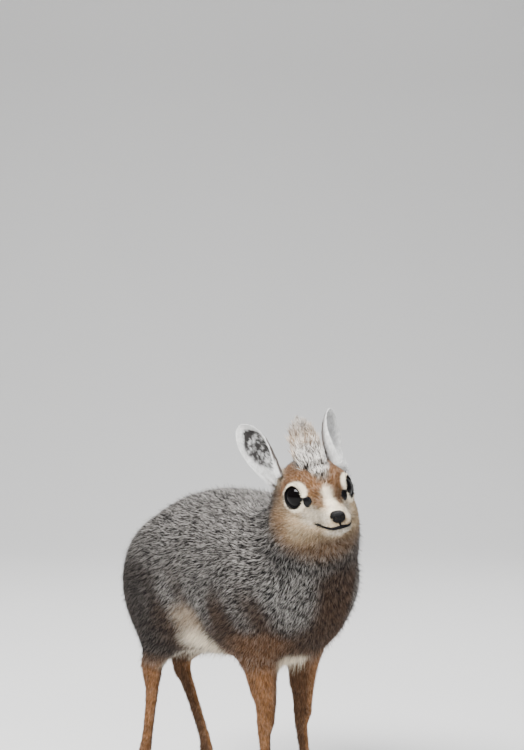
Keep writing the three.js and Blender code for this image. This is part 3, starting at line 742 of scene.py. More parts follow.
def grow_piece(name, roots, normals, ways, length, width, lift, colours, rng, finish):
    count = len(roots)
    steps = colours.shape[1] - 1
    across = unit(np.cross(normals, ways))
    ways = unit(ways + across * rng.normal(0, 0.3, (count, 1)))
    at = roots - normals * (length * ROOT_SUNK)[:, None]
    rings = []
    for i in range(steps):
        size = (width * (1 - 0.5 * i / steps))[:, None]
        rings.append(at + across * size * 0.5)
        rings.append(at + normals * size * TUFT_BACK)
        rings.append(at - across * size * 0.5)
        rise = (lift * (1 - 0.75 * i / max(steps - 1, 1)))[:, None]
        at = at + (ways * np.cos(rise) + normals * np.sin(rise)) * (length / steps)[:, None]
    rings.append(at)
    points = np.stack(rings, 1)
    a_tuft = points.shape[1]
    faces = [(2, 1, 0)]
    for i in range(steps - 1):
        for j in range(3):
            a, b = 3 * i + j, 3 * i + (j + 1) % 3
            faces += [(a, b, b + 3), (a, b + 3, a + 3)]
    last = 3 * (steps - 1)
    faces += [(last + j, last + (j + 1) % 3, a_tuft - 1) for j in range(3)]
    triangles = (np.array(faces)[None] + (np.arange(count) * a_tuft)[:, None, None]).reshape(-1, 3)
    ring_of = np.minimum(np.arange(a_tuft) // 3, steps)
    tones = colours[:, ring_of, :].reshape(-1, 3)
    spot = unwrapped(roots, normals)
    step = np.stack([np.arange(a_tuft) % 3 - 1, ring_of / steps - 0.5], 1) * BAKE_STEP
    step[-1, 0] = 0
    patch = (spot[:, None] + step[None]).reshape(-1, 2)
    return mesh_object(name, points.reshape(-1, 3), triangles, finish, tones, patch)


def unwrapped(roots, normals):
    """Each root's place on a flat layout of the skin: six charts, by the way that the skin faces."""
    low, high = roots.min(0), roots.max(0)
    flat = (roots - low) / np.maximum(high - low, 1e-6)
    axis = np.argmax(np.abs(normals), axis=1)
    chart = axis * 2 + (np.take_along_axis(normals, axis[:, None], 1)[:, 0] > 0)
    u = np.where(axis == 0, flat[:, 1], flat[:, 0])
    v = np.where(axis == 2, flat[:, 1], flat[:, 2])
    inside = BAKE_MARGIN + (1 - 2 * BAKE_MARGIN) * np.stack([u, v], 1)
    return (np.stack([chart % 3, chart // 3], 1) + inside) / [3, 2]


def scattered(points, triangles, density, rng):
    """Random places over triangles: density is the number to a square millimetre at each triangle."""
    a, b, c = (points[triangles[:, i]] for i in range(3))
    area = np.linalg.norm(np.cross(b - a, c - a), axis=1) / 2 * 1e6
    share = np.cumsum(area * density)
    count = int(share[-1] * (1.0))
    spots = (np.arange(count) + rng.random(count)) / count * share[-1]
    chosen = np.minimum(np.searchsorted(share, spots), len(triangles) - 1)
    u, v = rng.random(count), rng.random(count)
    over = u + v > 1
    u[over], v[over] = 1 - u[over], 1 - v[over]
    return chosen, np.stack([1 - u - v, u, v], 1)


def placed(points, triangles, normals, chosen, weights):
    """Where on their triangles scattered roots are, and the ways that the surface faces there."""
    corners = triangles[chosen]
    at = np.einsum("ij,ijk->ik", weights, points[corners])
    return at, unit(np.einsum("ij,ijk->ik", weights, normals[corners]))


def banded(place, colour, grizzle, rng):
    """A colour to the root and the tip of each tuft. Grizzled ones are dark, gray or pale, with dark roots.

    Neighbours lean to one shade, so that they show as flecks."""
    count = len(colour)
    dark, pale = hair("dark_hair"), hair("pale_hair")
    fine = 0.5 * waves(place.p, 2.2, 51) + 0.5 * waves(place.p, 2.9, 52)
    kind = np.clip(0.45 * rng.random(count) + 0.55 * smooth(0.2, 0.8, fine), 0, 1)[:, None]
    dim = 1 - smooth(0.05, 0.15, colour.mean(1))
    light = mix(pale, np.minimum(colour * 2.4, 0.92), 0.3 + 0.6 * dim)
    shades = np.where(kind < 0.47, dark, np.where(kind < 0.59, colour * 1.1, light))
    shades = shades * rng.uniform(0.7, 1.25, (count, 1))
    bright = smooth(0.25, 0.6, colour.mean(1))
    spread = mix(0.45, 0.12, bright)
    plain = colour * (1 + spread * rng.uniform(-1, 1, count) + spread * 1.5 * (fine - 0.5))[:, None]
    tip = mix(plain, shades, grizzle * rng.uniform(0.85, 1.0, count))
    # Roots: toward black for the dark bases of grizzled hair, and darkened on every tuft as painted shade
    # deep in the coat
    root = mix(tip * mix(0.55, 0.92, bright)[:, None], dark, (0.12 + 0.8 * grizzle) * (1 - 0.8 * bright))
    return np.clip(np.stack([root, tip], 1), 0.002, 0.97)


# The skin and what grows on it

skin = {}


class DIKDIK_OT_skin(bpy.types.Operator):
    """One skin over the trunk, neck, head, tail and legs, as deep under the solids as the coat is long."""

    bl_idname = "dikdik.skin"
    bl_label = "Skin"

    def execute(self, context):
        points, triangles = remeshed([*FLESH, "nose"], sizes().skin_grid, 4)
        normals = point_normals(points, triangles)
        place = Place(points, normals)
        points = points - normals * (coat_depth(place) + SWELL)[:, None]
        normals = point_normals(points, triangles)
        skin.update(points=points, triangles=triangles, normals=normals)
        skin["mouth"] = in_head(mouth_line())
        place = Place(points, normals)
        colour, grizzle = markings(place)
        # The skin shows between the tufts: the coat's colour darkened as painted shade deep in the coat,
        # less where it is pale, and toward black under grizzled hair for its dark bases
        bright = smooth(0.25, 0.6, colour.mean(1))
        under = mix(colour * mix(0.6, 0.92, bright)[:, None], hair("dark_hair"), grizzle * 0.75)
        finish = material("skin", roughness=0.75, fleck=1400.0, strength=0.35, bump=0.5)
        made = mesh_object("skin", points, triangles, finish, np.clip(under, 0, 1))
        ridden(made, "grizzled_coat", *FLESH)
        return {"FINISHED"}


class DIKDIK_OT_coat(bpy.types.Operator):
    """The coat: short tufts along the lie of the hair, longest on the trunk and shortest on the face."""

    bl_idname = "dikdik.coat"
    bl_label = "Coat"

    def execute(self, context):
        rng = np.random.default_rng(11)
        s = sizes()
        points, triangles, normals = skin["points"], skin["triangles"], skin["normals"]
        centres = points[triangles].mean(1)
        place = Place(centres, unit(normals[triangles].mean(1)))
        density = mix(s.body_density, s.face_density, place.face)
        density = mix(density, s.leg_density, place.leg)
        chosen, weights = scattered(points, triangles, density * (1 - bare_skin(place)), rng)
        roots, faces = placed(points, triangles, normals, chosen, weights)
        place = Place(roots, faces)
        ways = coat_lie(place)
        length, width, lift = tuft_sizes(place, rng)
        colour, grizzle = markings(place)
        tones = banded(place, colour, grizzle, rng)
        finish = material("coat", roughness=0.7, specular=0.12, fleck=1500.0, strength=0.2)
        kinds = {
            "coat_face": place.face > 0.5,
            "coat_legs": (place.leg > 0.6) & (place.face <= 0.5),
        }
        kinds["coat_body"] = ~(kinds["coat_face"] | kinds["coat_legs"])
        slots = {"coat_face": "face_coat", "coat_legs": "tan_coat", "coat_body": "grizzled_coat"}
        for name, kind in kinds.items():
            args = [v[kind] for v in (roots, faces, ways, length, width, lift, tones)]
            grow(name, *args, slots[name], rng, finish)
        return {"FINISHED"}


def bare_skin(place):
    """Where no hair grows: the nose, the eyes' openings, the glands, the lips and the hooves."""
    face = place.head("bare_nose") + place.opening(8.8, 9.6) + place.gland() + place.lips(1.0)
    return np.clip(face + (place.p[:, 2] < HOOF_TOP), 0, 1)


def tuft_sizes(place, rng):
    """How long and wide each tuft is, and the angle by which it stands off the skin."""
    s = sizes()
    count = len(place.h)
    face = s.face_hair * (1 - 0.5 * place.head("short_muzzle") + 0.8 * smooth(6, -30, place.h[:, 0]))
    face = face * (1 - 0.5 * place.head("short_eye"))
    face = face * (1 + 0.7 * place.head("long_jaw"))
    face = face * (1 + 0.9 * place.head("long_ear_root"))
    length = mix(s.back_hair, face, place.face)
    length = length * (1 + 0.3 * place.belly)
    long_white = np.maximum(place.beside("long_groin"), place.trunk("long_between_forelegs"))
    leg = s.leg_hair * (1 + 0.7 * smooth(92, 140, place.p[:, 2]))
    length = mix(length, leg, place.leg * (1 - long_white))
    length = length * (1 + 0.55 * long_white)
    length = length * rng.uniform(0.7, 1.25, count)
    width = mix(s.back_width, s.back_width * 0.56, place.face)
    width = mix(width, s.back_width * 0.7, place.leg)
    width = width * rng.uniform(0.7, 1.25, count)
    lift = mix(mix(0.42, 0.3, place.face), 0.26, place.leg)
    lift = lift * (1 + 0.5 * long_white) * rng.uniform(0.6, 1.4, count)
    stray = (rng.random(count) < 0.1) & (place.face < 0.3) & (place.leg < 0.5)
    length = np.where(stray, length * 1.45, length)
    width = np.where(stray, width * 0.7, width)
    lift = np.where(stray, lift * 1.7, lift)
    return length, width, lift


# The crest


class DIKDIK_OT_crest(bpy.types.Operator):
    """The crest of longer hair that rises from the forehead and the crown to one tip."""

    bl_idname = "dikdik.crest"
    bl_label = "Crest"

    def execute(self, context):
        rng = np.random.default_rng(23)
        finish = material("crest_hair", roughness=0.6, specular=0.22, fleck=1500.0, strength=0.2)
        points, triangles = remeshed(["tuft"], FINE_GRID, 3, swell=0.0)
        normals = point_normals(points, triangles)
        points = points - normals * 0.0009
        local = in_head(points)
        tip = local[np.argmax(local[:, 2] - 0.3 * local[:, 0])]
        # The core under the locks takes their middle colour, darkened as painted shade inside the crest
        core = self.tones(local, tip, rng)[:, 1] * 0.85
        ridden(mesh_object("crest_core", points, triangles, finish, core), "tuft_hair", "tuft")
        roots, faces, length, flat = self.locks(points, triangles, normals, tip, rng)
        local = in_head(roots)
        ways = ways_from_head(unit(tip + [-3.0, 0.0, 9.0] - local))
        ways = unit(ways - faces * (np.sum(ways * faces, axis=1) * flat)[:, None])
        count = len(roots)
        length = length * rng.uniform(0.55, 1.15, count)
        width = 0.00072 * rng.uniform(0.7, 1.3, count)
        lift = rng.uniform(0.02, 0.25, count)
        tones = self.tones(local, tip, rng)
        grow("crest", roots, faces, ways, length, width, lift, tones, "tuft_hair", rng, finish)
        return {"FINISHED"}

    def locks(self, points, triangles, normals, tip, rng):
        """Roots on the core and on the skin round it, their normals, and how long and flat each lock is."""
        lock = sizes().crest_hair
        chosen, weights = scattered(points, triangles, np.full(len(triangles), 4.2), rng)
        roots, faces = placed(points, triangles, normals, chosen, weights)
        gap = np.linalg.norm(tip - in_head(roots), axis=1)
        bed = in_head(skin["points"][skin["triangles"]].mean(1))
        share = about(bed, *CREST_BED) * (bed[:, 2] > 8)
        chosen, weights = scattered(skin["points"], skin["triangles"], share * 5.5, rng)
        base, up = placed(skin["points"], skin["triangles"], skin["normals"], chosen, weights)
        front = in_head(base)[:, 0]
        on_core = lock * mix(0.45, 1.0, smooth(2, 18, gap))
        on_skin = lock * mix(1.45, 0.85, smooth(-8, 12, front))
        length = np.concatenate([on_core, on_skin])
        flat = np.concatenate([np.full(len(gap), 0.8), mix(0.25, 0.7, smooth(-8, 18, front))])
        return np.vstack([roots, base]), np.vstack([faces, up]), length, flat

    def tones(self, local, tip, rng):
        """A lock's root, middle and tip colours: black and white in front, warm beside, dull at the top."""
        count = len(local)
        gray, pale, dark = hair("gray_hair"), hair("pale_hair"), hair("dark_hair")
        warm = mix(hair("cheek_hair"), hair("rufous_hair"), rng.random(count))
        warm = warm * rng.uniform(0.7, 1.3, (count, 1))
        pick = (0.5 * rng.random(count) + 0.5 * smooth(0.15, 0.85, waves(local, 4.0, 61)))[:, None]
        grizzled = np.where(pick < 0.36, dark, np.where(pick < 0.46, gray, pale * 1.1))
        high = smooth(-24, -4, local[:, 2] - tip[2])
        front = smooth(-14, 2, local[:, 0] + 0.5 * np.abs(local[:, 1]))
        dull = mix(mix(gray, hair("brown_hair"), 0.4), pale, 0.35) * rng.uniform(0.6, 1.3, (count, 1))
        middle_tone = mix(mix(warm, dull * 0.85, 0.8 * high), grizzled, 0.35 + 0.6 * front)
        # Roots darkened toward black as painted shade inside the crest
        root_tone = mix(middle_tone, dark, 0.28)
        tip_tone = mix(middle_tone, pale, 0.1)
        return np.clip(np.stack([root_tone, middle_tone, tip_tone], 1), 0, 1)


# The ears


class Ear:
    """Directions of an ear in the frame, and places on it."""

    def __init__(self, name):
        side = SIDES[name]
        mirror = np.array([1, side, 1])
        self.name = name
        self.foot = from_head([EAR_FOOT * mirror])[0]
        self.axis = ways_from_head([unit(EAR_WAY * mirror)])[0]
        out = math.radians(EAR_OUT[name])
        facing = ways_from_head([[math.cos(out), side * math.sin(out), 0.1]])[0]
        self.facing = unit(facing - self.axis * (facing @ self.axis))
        self.across = np.cross(self.axis, self.facing) * side

    def place(self, points, normals):
        """1 inside the cup and 0 behind it, the way up the ear from 0 to 1, and across it from -1 to 1."""
        local = (points - self.foot) * 1000
        t = np.clip(local @ self.axis / EAR_LONG, 0, 1)
        half = np.interp(t, EAR_UP, EAR_HALF) * EAR_WIDE
        inner = smooth(-0.1, 0.3, normals @ self.facing + EAR_WHITE[self.name])
        return inner, t, np.clip(local @ self.across / half, -1, 1)


class DIKDIK_OT_ears(bpy.types.Operator):
    """Thin ears with pale hair inside, dark marks in the cup and short gray hair behind."""

    bl_idname = "dikdik.ears"
    bl_label = "Ears"

    def execute(self, context):
        for name in SIDES:
            self.ear(name)
        return {"FINISHED"}

    def ear(self, name):
        rng = np.random.default_rng(31)
        node = f"ear_{name}"
        ear = Ear(name)
        points, triangles = remeshed([node], FINE_GRID, 3, swell=0.0001, factor=0.4)
        normals = point_normals(points, triangles)
        # The ear's skin under its hair: the hair's colour darkened as painted shade among the hairs
        under = ear_colour(ear, *ear.place(points, normals), drawn(points)) * 0.85
        finish = material(f"ear_skin_{name}", fleck=1300.0, strength=0.25, bump=0.3, reach=0.0002)
        ridden(mesh_object(node + "_skin", points, triangles, finish, under), "ear_skin", node)
        chosen, weights = scattered(points, triangles, np.full(len(triangles), 2.1), rng)
        roots, faces = placed(points, triangles, normals, chosen, weights)
        inner, t, v = ear.place(roots, faces)
        way = ear.axis - ear.across * (v * 0.45 * inner)[:, None]
        way = way - faces * np.sum(way * faces, axis=1, keepdims=True)
        count = len(roots)
        length = mix(0.0024, 0.0034, inner * (1 - smooth(0.5, 0.95, t))) * rng.uniform(0.6, 1.25, count)
        length = length * (1 - 0.55 * smooth(0.7, 1.0, np.abs(v))) * (1 - 0.5 * smooth(0.86, 1.0, t))
        length = length * (1 + 1.1 * inner * (1 - smooth(0.1, 0.4, t)))
        width = 0.0005 * rng.uniform(0.7, 1.3, count)
        lift = mix(0.2, 0.36, inner) * rng.uniform(0.6, 1.3, count)
        colour = ear_colour(ear, inner, t, v, drawn(roots)) * rng.uniform(0.78, 1.14, (count, 1))
        # Roots darker than tips as painted shade among the hairs
        tones = np.clip(np.stack([colour * 0.85, colour * 1.04], 1), 0, 0.97)
        finish = material(f"ear_hair_{name}", specular=0.25, fleck=1500.0, strength=0.15)
        grow(node + "_hair", roots, faces, unit(way), length, width, lift, tones, "ear_skin", rng, finish)


def ear_colour(ear, inner, t, v, spots):
    """White with a pale rim and dark mottled hollows inside, gray-brown behind with a dark edge."""
    cream, gray, dark, brown = (hair(n) for n in ("cream_hair", "gray_hair", "dark_hair", "brown_hair"))
    white = mix(cream, np.array([0.84, 0.89, 0.96]), 0.65)
    mottle = smooth(0.24, 0.42, 0.6 * waves(spots, 5.5, 41) + 0.4 * waves(spots, 2.6, 42))
    streak = smooth(0.25, 0.45, waves(spots, 5.0, 43))
    patch = 1 - smooth(0.88, 1.08, np.hypot((t - 0.65) / 0.27, v / 0.78))
    sides = np.abs(v + 0.06 * np.sin(t * 9)) - mix(0.16, 0.5, smooth(0.1, 0.5, t))
    seam = (1 - smooth(0.1, 0.24, np.abs(sides))) * smooth(0.06, 0.16, t) * (1 - smooth(0.5, 0.66, t))
    canal = 1 - smooth(0.7, 1.2, np.hypot((t - 0.2) / 0.17, (v + 0.3) / 0.5))
    marks = np.maximum(patch * (0.3 + 0.7 * mottle), seam * (0.5 + 0.5 * streak))
    marks = np.maximum(marks, 0.95 * canal) * EAR_MARKS[ear.name]
    inside = mix(white, hair("bare_black") * 2 + brown * 0.06, np.clip(marks, 0, 0.98))
    inside = mix(inside, gray, 0.2 * (1 - patch) * mottle)
    behind = mix(mix(gray, brown, 0.45) * 0.8, dark, smooth(0.3, 0.9, t) * 0.4)
    return mix(behind, inside, inner)


# The face


def egg_mesh(name, centre, radii, axes, finish, rings=20, around=32):
    """A closed egg with its radii along the rows of axes."""
    phi = np.linspace(0, math.pi, rings + 1)[1:-1]
    theta = np.arange(around) * 2 * math.pi / around
    high = np.cos(phi)[:, None] * np.ones(around)
    flat = np.sin(phi)[:, None]
    grid = np.stack([flat * np.cos(theta), flat * np.sin(theta), high], -1).reshape(-1, 3)
    shape = np.vstack([grid, [[0, 0, 1], [0, 0, -1]]]) * np.array(radii)
    top, bottom = len(grid), len(grid) + 1
    faces = []
    for j in range(around):
        k = (j + 1) % around
        faces.append((top, j, k))
        for i in range(rings - 2):
            a, b = i * around + j, i * around + k
            faces += [(a, a + around, b + around), (a, b + around, b)]
        faces.append(((rings - 2) * around + k, (rings - 2) * around + j, bottom))
    points = shape @ np.array(axes) + np.array(centre)
    return mesh_object(name, points, outward(points, np.array(faces)), finish)


def outward(points, faces):
    """The faces of a closed mesh, turned to face out."""
    a, b, c = (points[faces[:, i]] - points.mean(0) for i in range(3))
    return faces if np.sum(np.cross(a, b) * c) > 0 else faces[:, ::-1]


def eye_axes(s):
    """Rows: toward the front of the face, up, and the way that the eye looks, in the frame."""
    mirror = np.array([1, s, 1])
    return ways_from_head(np.stack([EYE_FRONT * mirror, EYE_UP * mirror, unit(EYE_GAZE) * mirror]))


def tube(name, points, radius, finish, sides=10, closed=True):
    """A tube along points. radius may be one number to a point. An open tube ends in points."""
    points = np.asarray(points, float)
    count = len(points)
    radius = np.broadcast_to(np.asarray(radius, float), (count,))
    if closed:
        along = unit(np.roll(points, -1, 0) - np.roll(points, 1, 0))
    else:
        along = unit(np.gradient(points, axis=0))
    centre = points.mean(0)
    side = unit(np.cross(along, points - centre + 1e-9))
    over = np.cross(side, along)
    a = np.arange(sides) * 2 * math.pi / sides
    rings = points[:, None] + radius[:, None, None] * (
        np.cos(a)[None, :, None] * side[:, None] + np.sin(a)[None, :, None] * over[:, None]
    )
    flat = rings.reshape(-1, 3)
    faces = []
    for i in range(count if closed else count - 1):
        for j in range(sides):
            k, n = (j + 1) % sides, (i + 1) % count
            p, q, r, t = i * sides + j, i * sides + k, n * sides + k, n * sides + j
            faces += [(p, q, r), (p, r, t)]
    if not closed:
        flat = np.vstack([flat, points[:1], points[-1:]])
        for j in range(sides):
            k = (j + 1) % sides
            faces.append((count * sides, k, j))
            faces.append((count * sides + 1, (count - 1) * sides + j, (count - 1) * sides + k))
    return mesh_object(name, flat, outward(flat, np.array(faces)), finish)


def opening_line(wide, tall, lift, count=64):
    """The almond edge of an eye's opening, lift over the ball, from the front corner round by the top."""
    a = np.arange(count) * 2 * math.pi / count
    x = wide * np.cos(a)
    y = 1.0 + tall * np.sin(a) * (1 - 0.12 * np.cos(a) ** 2) - 0.16 * tall * np.cos(a)
    radius = sizes().eye_radius * 1000 + lift
    z = np.sqrt(np.maximum(radius**2 - x**2 - y**2, 1.0))
    return np.stack([x, y, z], 1)


class DIKDIK_OT_eyes(bpy.types.Operator):
    """Large dark eyes with black lid rims and lashes."""

    bl_idname = "dikdik.eyes"
    bl_label = "Eyes"

    def execute(self, context):
        s = sizes()
        ball = material(
            "eye", hair("eye_brown"), roughness=0.04, specular=0.11, patch=90.0, fleck=1200.0, strength=0.5
        )
        rim = black_finish("lid_rim", 0.55, 0.08)
        for name, side in SIDES.items():
            axes = eye_axes(side)
            centre = from_head([EYE_PLACE * [1, side, 1]])[0]
            radii = np.full(3, s.eye_radius)
            eye = egg_mesh(f"eye_{name}_ball", centre, radii, axes, ball, rings=32, around=48)
            ridden(eye, "eye", f"eye_{name}")
            line = opening_line(wide=8.3, tall=8.8, lift=0.45) / 1000 @ axes + centre
            angle = np.arange(len(line)) * 2 * math.pi / len(line)
            ridden(tube(f"lid_{name}", line, 0.0009 + 0.0003 * np.sin(angle), rim), "nose_pad")
            self.lashes(name, axes, centre)
        return {"FINISHED"}

    def lashes(self, name, axes, centre):
        """Lashes along the upper lid, from near its front corner to near its back one."""
        edge = opening_line(wide=8.4, tall=9.2, lift=1.0, count=80)[5:36]
        out = unit(unit(edge * [1.0, 1.0, 0.15]) + [0.0, 0.25, 0.55]) @ axes
        finish = black_finish(f"lash_{name}", 0.45, 0.3, strength=0.2, bump=0.0)
        roots = edge / 1000 @ axes + centre
        made = bristles(f"lashes_{name}", roots, out, sizes().lash, thickness=0.00012, finish=finish, seed=3)
        ridden(made, "nose_pad")


def bristle_tree():
    """A geometry tree that sets a thin bristle on each point, along that point's way."""
    if "Bristles" in bpy.data.node_groups:
        return bpy.data.node_groups["Bristles"]
    tree = bpy.data.node_groups.new("Bristles", "GeometryNodeTree")
    sockets = tree.interface
    sockets.new_socket("Geometry", in_out="INPUT", socket_type="NodeSocketGeometry")
    numbers = [
        ("Length", "NodeSocketFloat", 0.007),
        ("Thickness", "NodeSocketFloat", 0.0002),
        ("Seed", "NodeSocketInt", 3),
    ]
    for label, kind, value in numbers:
        sockets.new_socket(label, in_out="INPUT", socket_type=kind).default_value = value
    sockets.new_socket("Finish", in_out="INPUT", socket_type="NodeSocketMaterial")
    sockets.new_socket("Geometry", in_out="OUTPUT", socket_type="NodeSocketGeometry")
    nodes, links = tree.nodes, tree.links
    given, put = nodes.new("NodeGroupInput"), nodes.new("NodeGroupOutput")
    spots = nodes.new("GeometryNodeMeshToPoints")
    cone = nodes.new("GeometryNodeMeshCone")
    cone.inputs["Vertices"].default_value = 5
    cone.inputs["Side Segments"].default_value = 3
    way = nodes.new("GeometryNodeInputNamedAttribute")
    way.data_type = "FLOAT_VECTOR"
    way.inputs["Name"].default_value = "way"
    turn = nodes.new("FunctionNodeAlignRotationToVector")
    turn.axis = "Z"
    vary = nodes.new("FunctionNodeRandomValue")
    vary.inputs[2].default_value = 0.7
    vary.inputs[3].default_value = 1.1
    place = nodes.new("GeometryNodeInstanceOnPoints")
    real = nodes.new("GeometryNodeRealizeInstances")
    finish = nodes.new("GeometryNodeSetMaterial")
    links.new(given.outputs["Geometry"], spots.inputs["Mesh"])
    links.new(spots.outputs["Points"], place.inputs["Points"])
    links.new(given.outputs["Length"], cone.inputs["Depth"])
    links.new(given.outputs["Thickness"], cone.inputs["Radius Bottom"])
    links.new(cone.outputs["Mesh"], place.inputs["Instance"])
    links.new(way.outputs["Attribute"], turn.inputs["Vector"])
    links.new(turn.outputs["Rotation"], place.inputs["Rotation"])
    links.new(given.outputs["Seed"], vary.inputs["Seed"])
    links.new(vary.outputs[1], place.inputs["Scale"])
    links.new(place.outputs["Instances"], real.inputs["Geometry"])
    links.new(real.outputs["Geometry"], finish.inputs["Geometry"])
    links.new(given.outputs["Finish"], finish.inputs["Material"])
    links.new(finish.outputs["Geometry"], put.inputs["Geometry"])
    return tree


def bristles(name, points, ways, length, thickness, finish, seed):
    """Thin bristles on points, along ways, made real by the geometry tree."""
    base = bpy.data.meshes.new(name + "_roots")
    base.from_pydata([tuple(p) for p in points], [], [])
    attribute = base.attributes.new("way", "FLOAT_VECTOR", "POINT")
    attribute.data.foreach_set("vector", np.asarray(ways, dtype=np.float32).ravel())
    holder = bpy.data.objects.new(name + "_roots", base)
    bpy.context.collection.objects.link(holder)
    modifier = holder.modifiers.new("bristles", "NODES")
    modifier.node_group = bristle_tree()
    given = {i.name: i.identifier for i in modifier.node_group.interface.items_tree if i.in_out == "INPUT"}
    for label, value in (("Length", length), ("Thickness", thickness), ("Seed", seed), ("Finish", finish)):
        modifier[given[label]] = value
    bpy.context.view_layer.update()
    mesh = bpy.data.meshes.new_from_object(holder.evaluated_get(bpy.context.evaluated_depsgraph_get()))
    bpy.data.objects.remove(holder)
    made = bpy.data.objects.new(name, mesh)
    bpy.context.collection.objects.link(made)
    return made


def on_face(spot):
    """The skin's nearest point to a place in the head, and the way that it faces there."""
    local = in_head(skin["points"])
    found = np.argmin(((local - np.array(spot)) ** 2).sum(1))
    return skin["points"][found], skin["normals"][found]


def upright(facing):
    """Rows: across, up and out of the face."""
    up = ways_from_head([[0.4, 0, 0.9]])[0]
    up = unit(up - facing * (up @ facing))
    return np.stack([np.cross(up, facing), up, facing])


def mouth_line():
    """From corner to corner of the mouth, on the skin."""
    found = []
    for t in np.linspace(-1, 1, 41):
        ahead = MOUTH_MIDDLE + (MOUTH_CORNER - MOUTH_MIDDLE) * t * t
        aside = MOUTH_HALF * np.sign(t) * abs(t) ** 1.1
        at, facing = on_face([ahead, aside, np.interp(abs(t), MOUTH_SHARES, MOUTH_HEIGHTS)])
        found.append(at + facing * 0.0004)
    line = np.array(found)
    for _ in range(14):
        line[1:-1] = (line[:-2] + 2 * line[1:-1] + line[2:]) / 4
    return line


class DIKDIK_OT_muzzle(bpy.types.Operator):
    """The bare nose, the line of the mouth, the glands before the eyes and the whiskers."""

    bl_idname = "dikdik.muzzle"
    bl_label = "Muzzle"

    def execute(self, context):
        pad = black_finish(
            "nose_pad", 0.5, 0.14, patch=300.0, fleck=1700.0, strength=0.4, bump=0.7, reach=0.0005
        )
        points, triangles = remeshed(["nose"], NOSE_GRID, 2, factor=0.4)
        ridden(mesh_object("nose_bare", points, triangles, pad), "nose_pad", "nose")
        lip = black_finish("lip_line", 0.55, 0.1)
        line = from_head(skin["mouth"])
        t = np.linspace(-1, 1, len(line))
        thick = 0.0015 * (1 - 0.7 * np.abs(t) ** 1.5)
        ridden(tube("mouth_line", line, thick, lip, closed=False), "nose_pad")
        ridden(tube("nose_split", from_head(NOSE_SPLIT), 0.001, lip, sides=8, closed=False), "nose_pad")
        bare = black_finish("gland", 0.25, 0.2)
        for name, side in SIDES.items():
            at, facing = on_face(GLAND_PLACE * [1, side, 1])
            radii = [0.0036, 0.0043, 0.0012]
            gland = egg_mesh(f"gland_{name}", at, radii, upright(facing), bare, rings=12, around=20)
            ridden(gland, "nose_pad")
            path = self.tear_path(side)
            ridden(tube(f"tear_line_{name}", path, 0.0023, lip, sides=8, closed=False), "nose_pad")
        self.whiskers()
        return {"FINISHED"}

    def tear_path(self, side):
        """From the eye's front corner to the gland, on the skin."""
        axes, centre = eye_axes(side), from_head([EYE_PLACE * [1, side, 1]])[0]
        path = []
        for front, up in TEAR_LINE:
            spot = np.array([front, up, 9.6 - 0.1 * front]) / 1000 @ axes + centre
            at, facing = on_face(in_head(spot))
            path.append(at + facing * 0.0001)
        return path

    def whiskers(self):
        """Three rows of three on each side of the muzzle."""
        spots, ways = [], []
        for side in SIDES.values():
            out = ways_from_head([[0.25, 0.1 * side, -0.4]])[0]
            for i in range(9):
                row, column = i // 3, i % 3
                spot = [37 - 2.6 * column, side * (8.5 + 0.8 * row), -17 - 2.4 * row]
                at, facing = on_face(spot)
                spots.append(at)
                ways.append(unit(facing + 0.5 * out))
        finish = material("whisker", hair("dark_hair") * 1.5, 0.5, patch=200.0, fleck=1500.0, strength=0.2)
        made = bristles("whiskers", spots, ways, length=0.010, thickness=0.00009, finish=finish, seed=8)
        ridden(made, "face_coat")


# The feet


class DIKDIK_OT_hooves(bpy.types.Operator):
    """Pairs of small pointed hooves with a fine bump."""

    bl_idname = "dikdik.hooves"
    bl_label = "Hooves"

    def execute(self, context):
        horn = material(
            "hoof",
            hair("horn"),
            roughness=0.42,
            specular=0.45,
            patch=120.0,
            strength=0.45,
            bump=0.35,
            reach=0.0003,
        )
        for node in [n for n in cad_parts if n.startswith("hoof_")]:
            points, triangles = remeshed([node], HOOF_GRID, 2, swell=0.0, factor=0.4)
            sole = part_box(node)[0][2]
            points[:, 2] = np.maximum(points[:, 2], sole)
            ridden(mesh_object(node + "_horn", points, triangles, horn), "hoof", node)
        return {"FINISHED"}


# The studio


def camera_ways():
    """The camera's ways ahead and to its right, level with the floor."""
    ahead = np.array([-math.sin(CAMERA_TURN), math.cos(CAMERA_TURN), 0])
    right = np.array([math.cos(CAMERA_TURN), math.sin(CAMERA_TURN), 0])
    return ahead, right


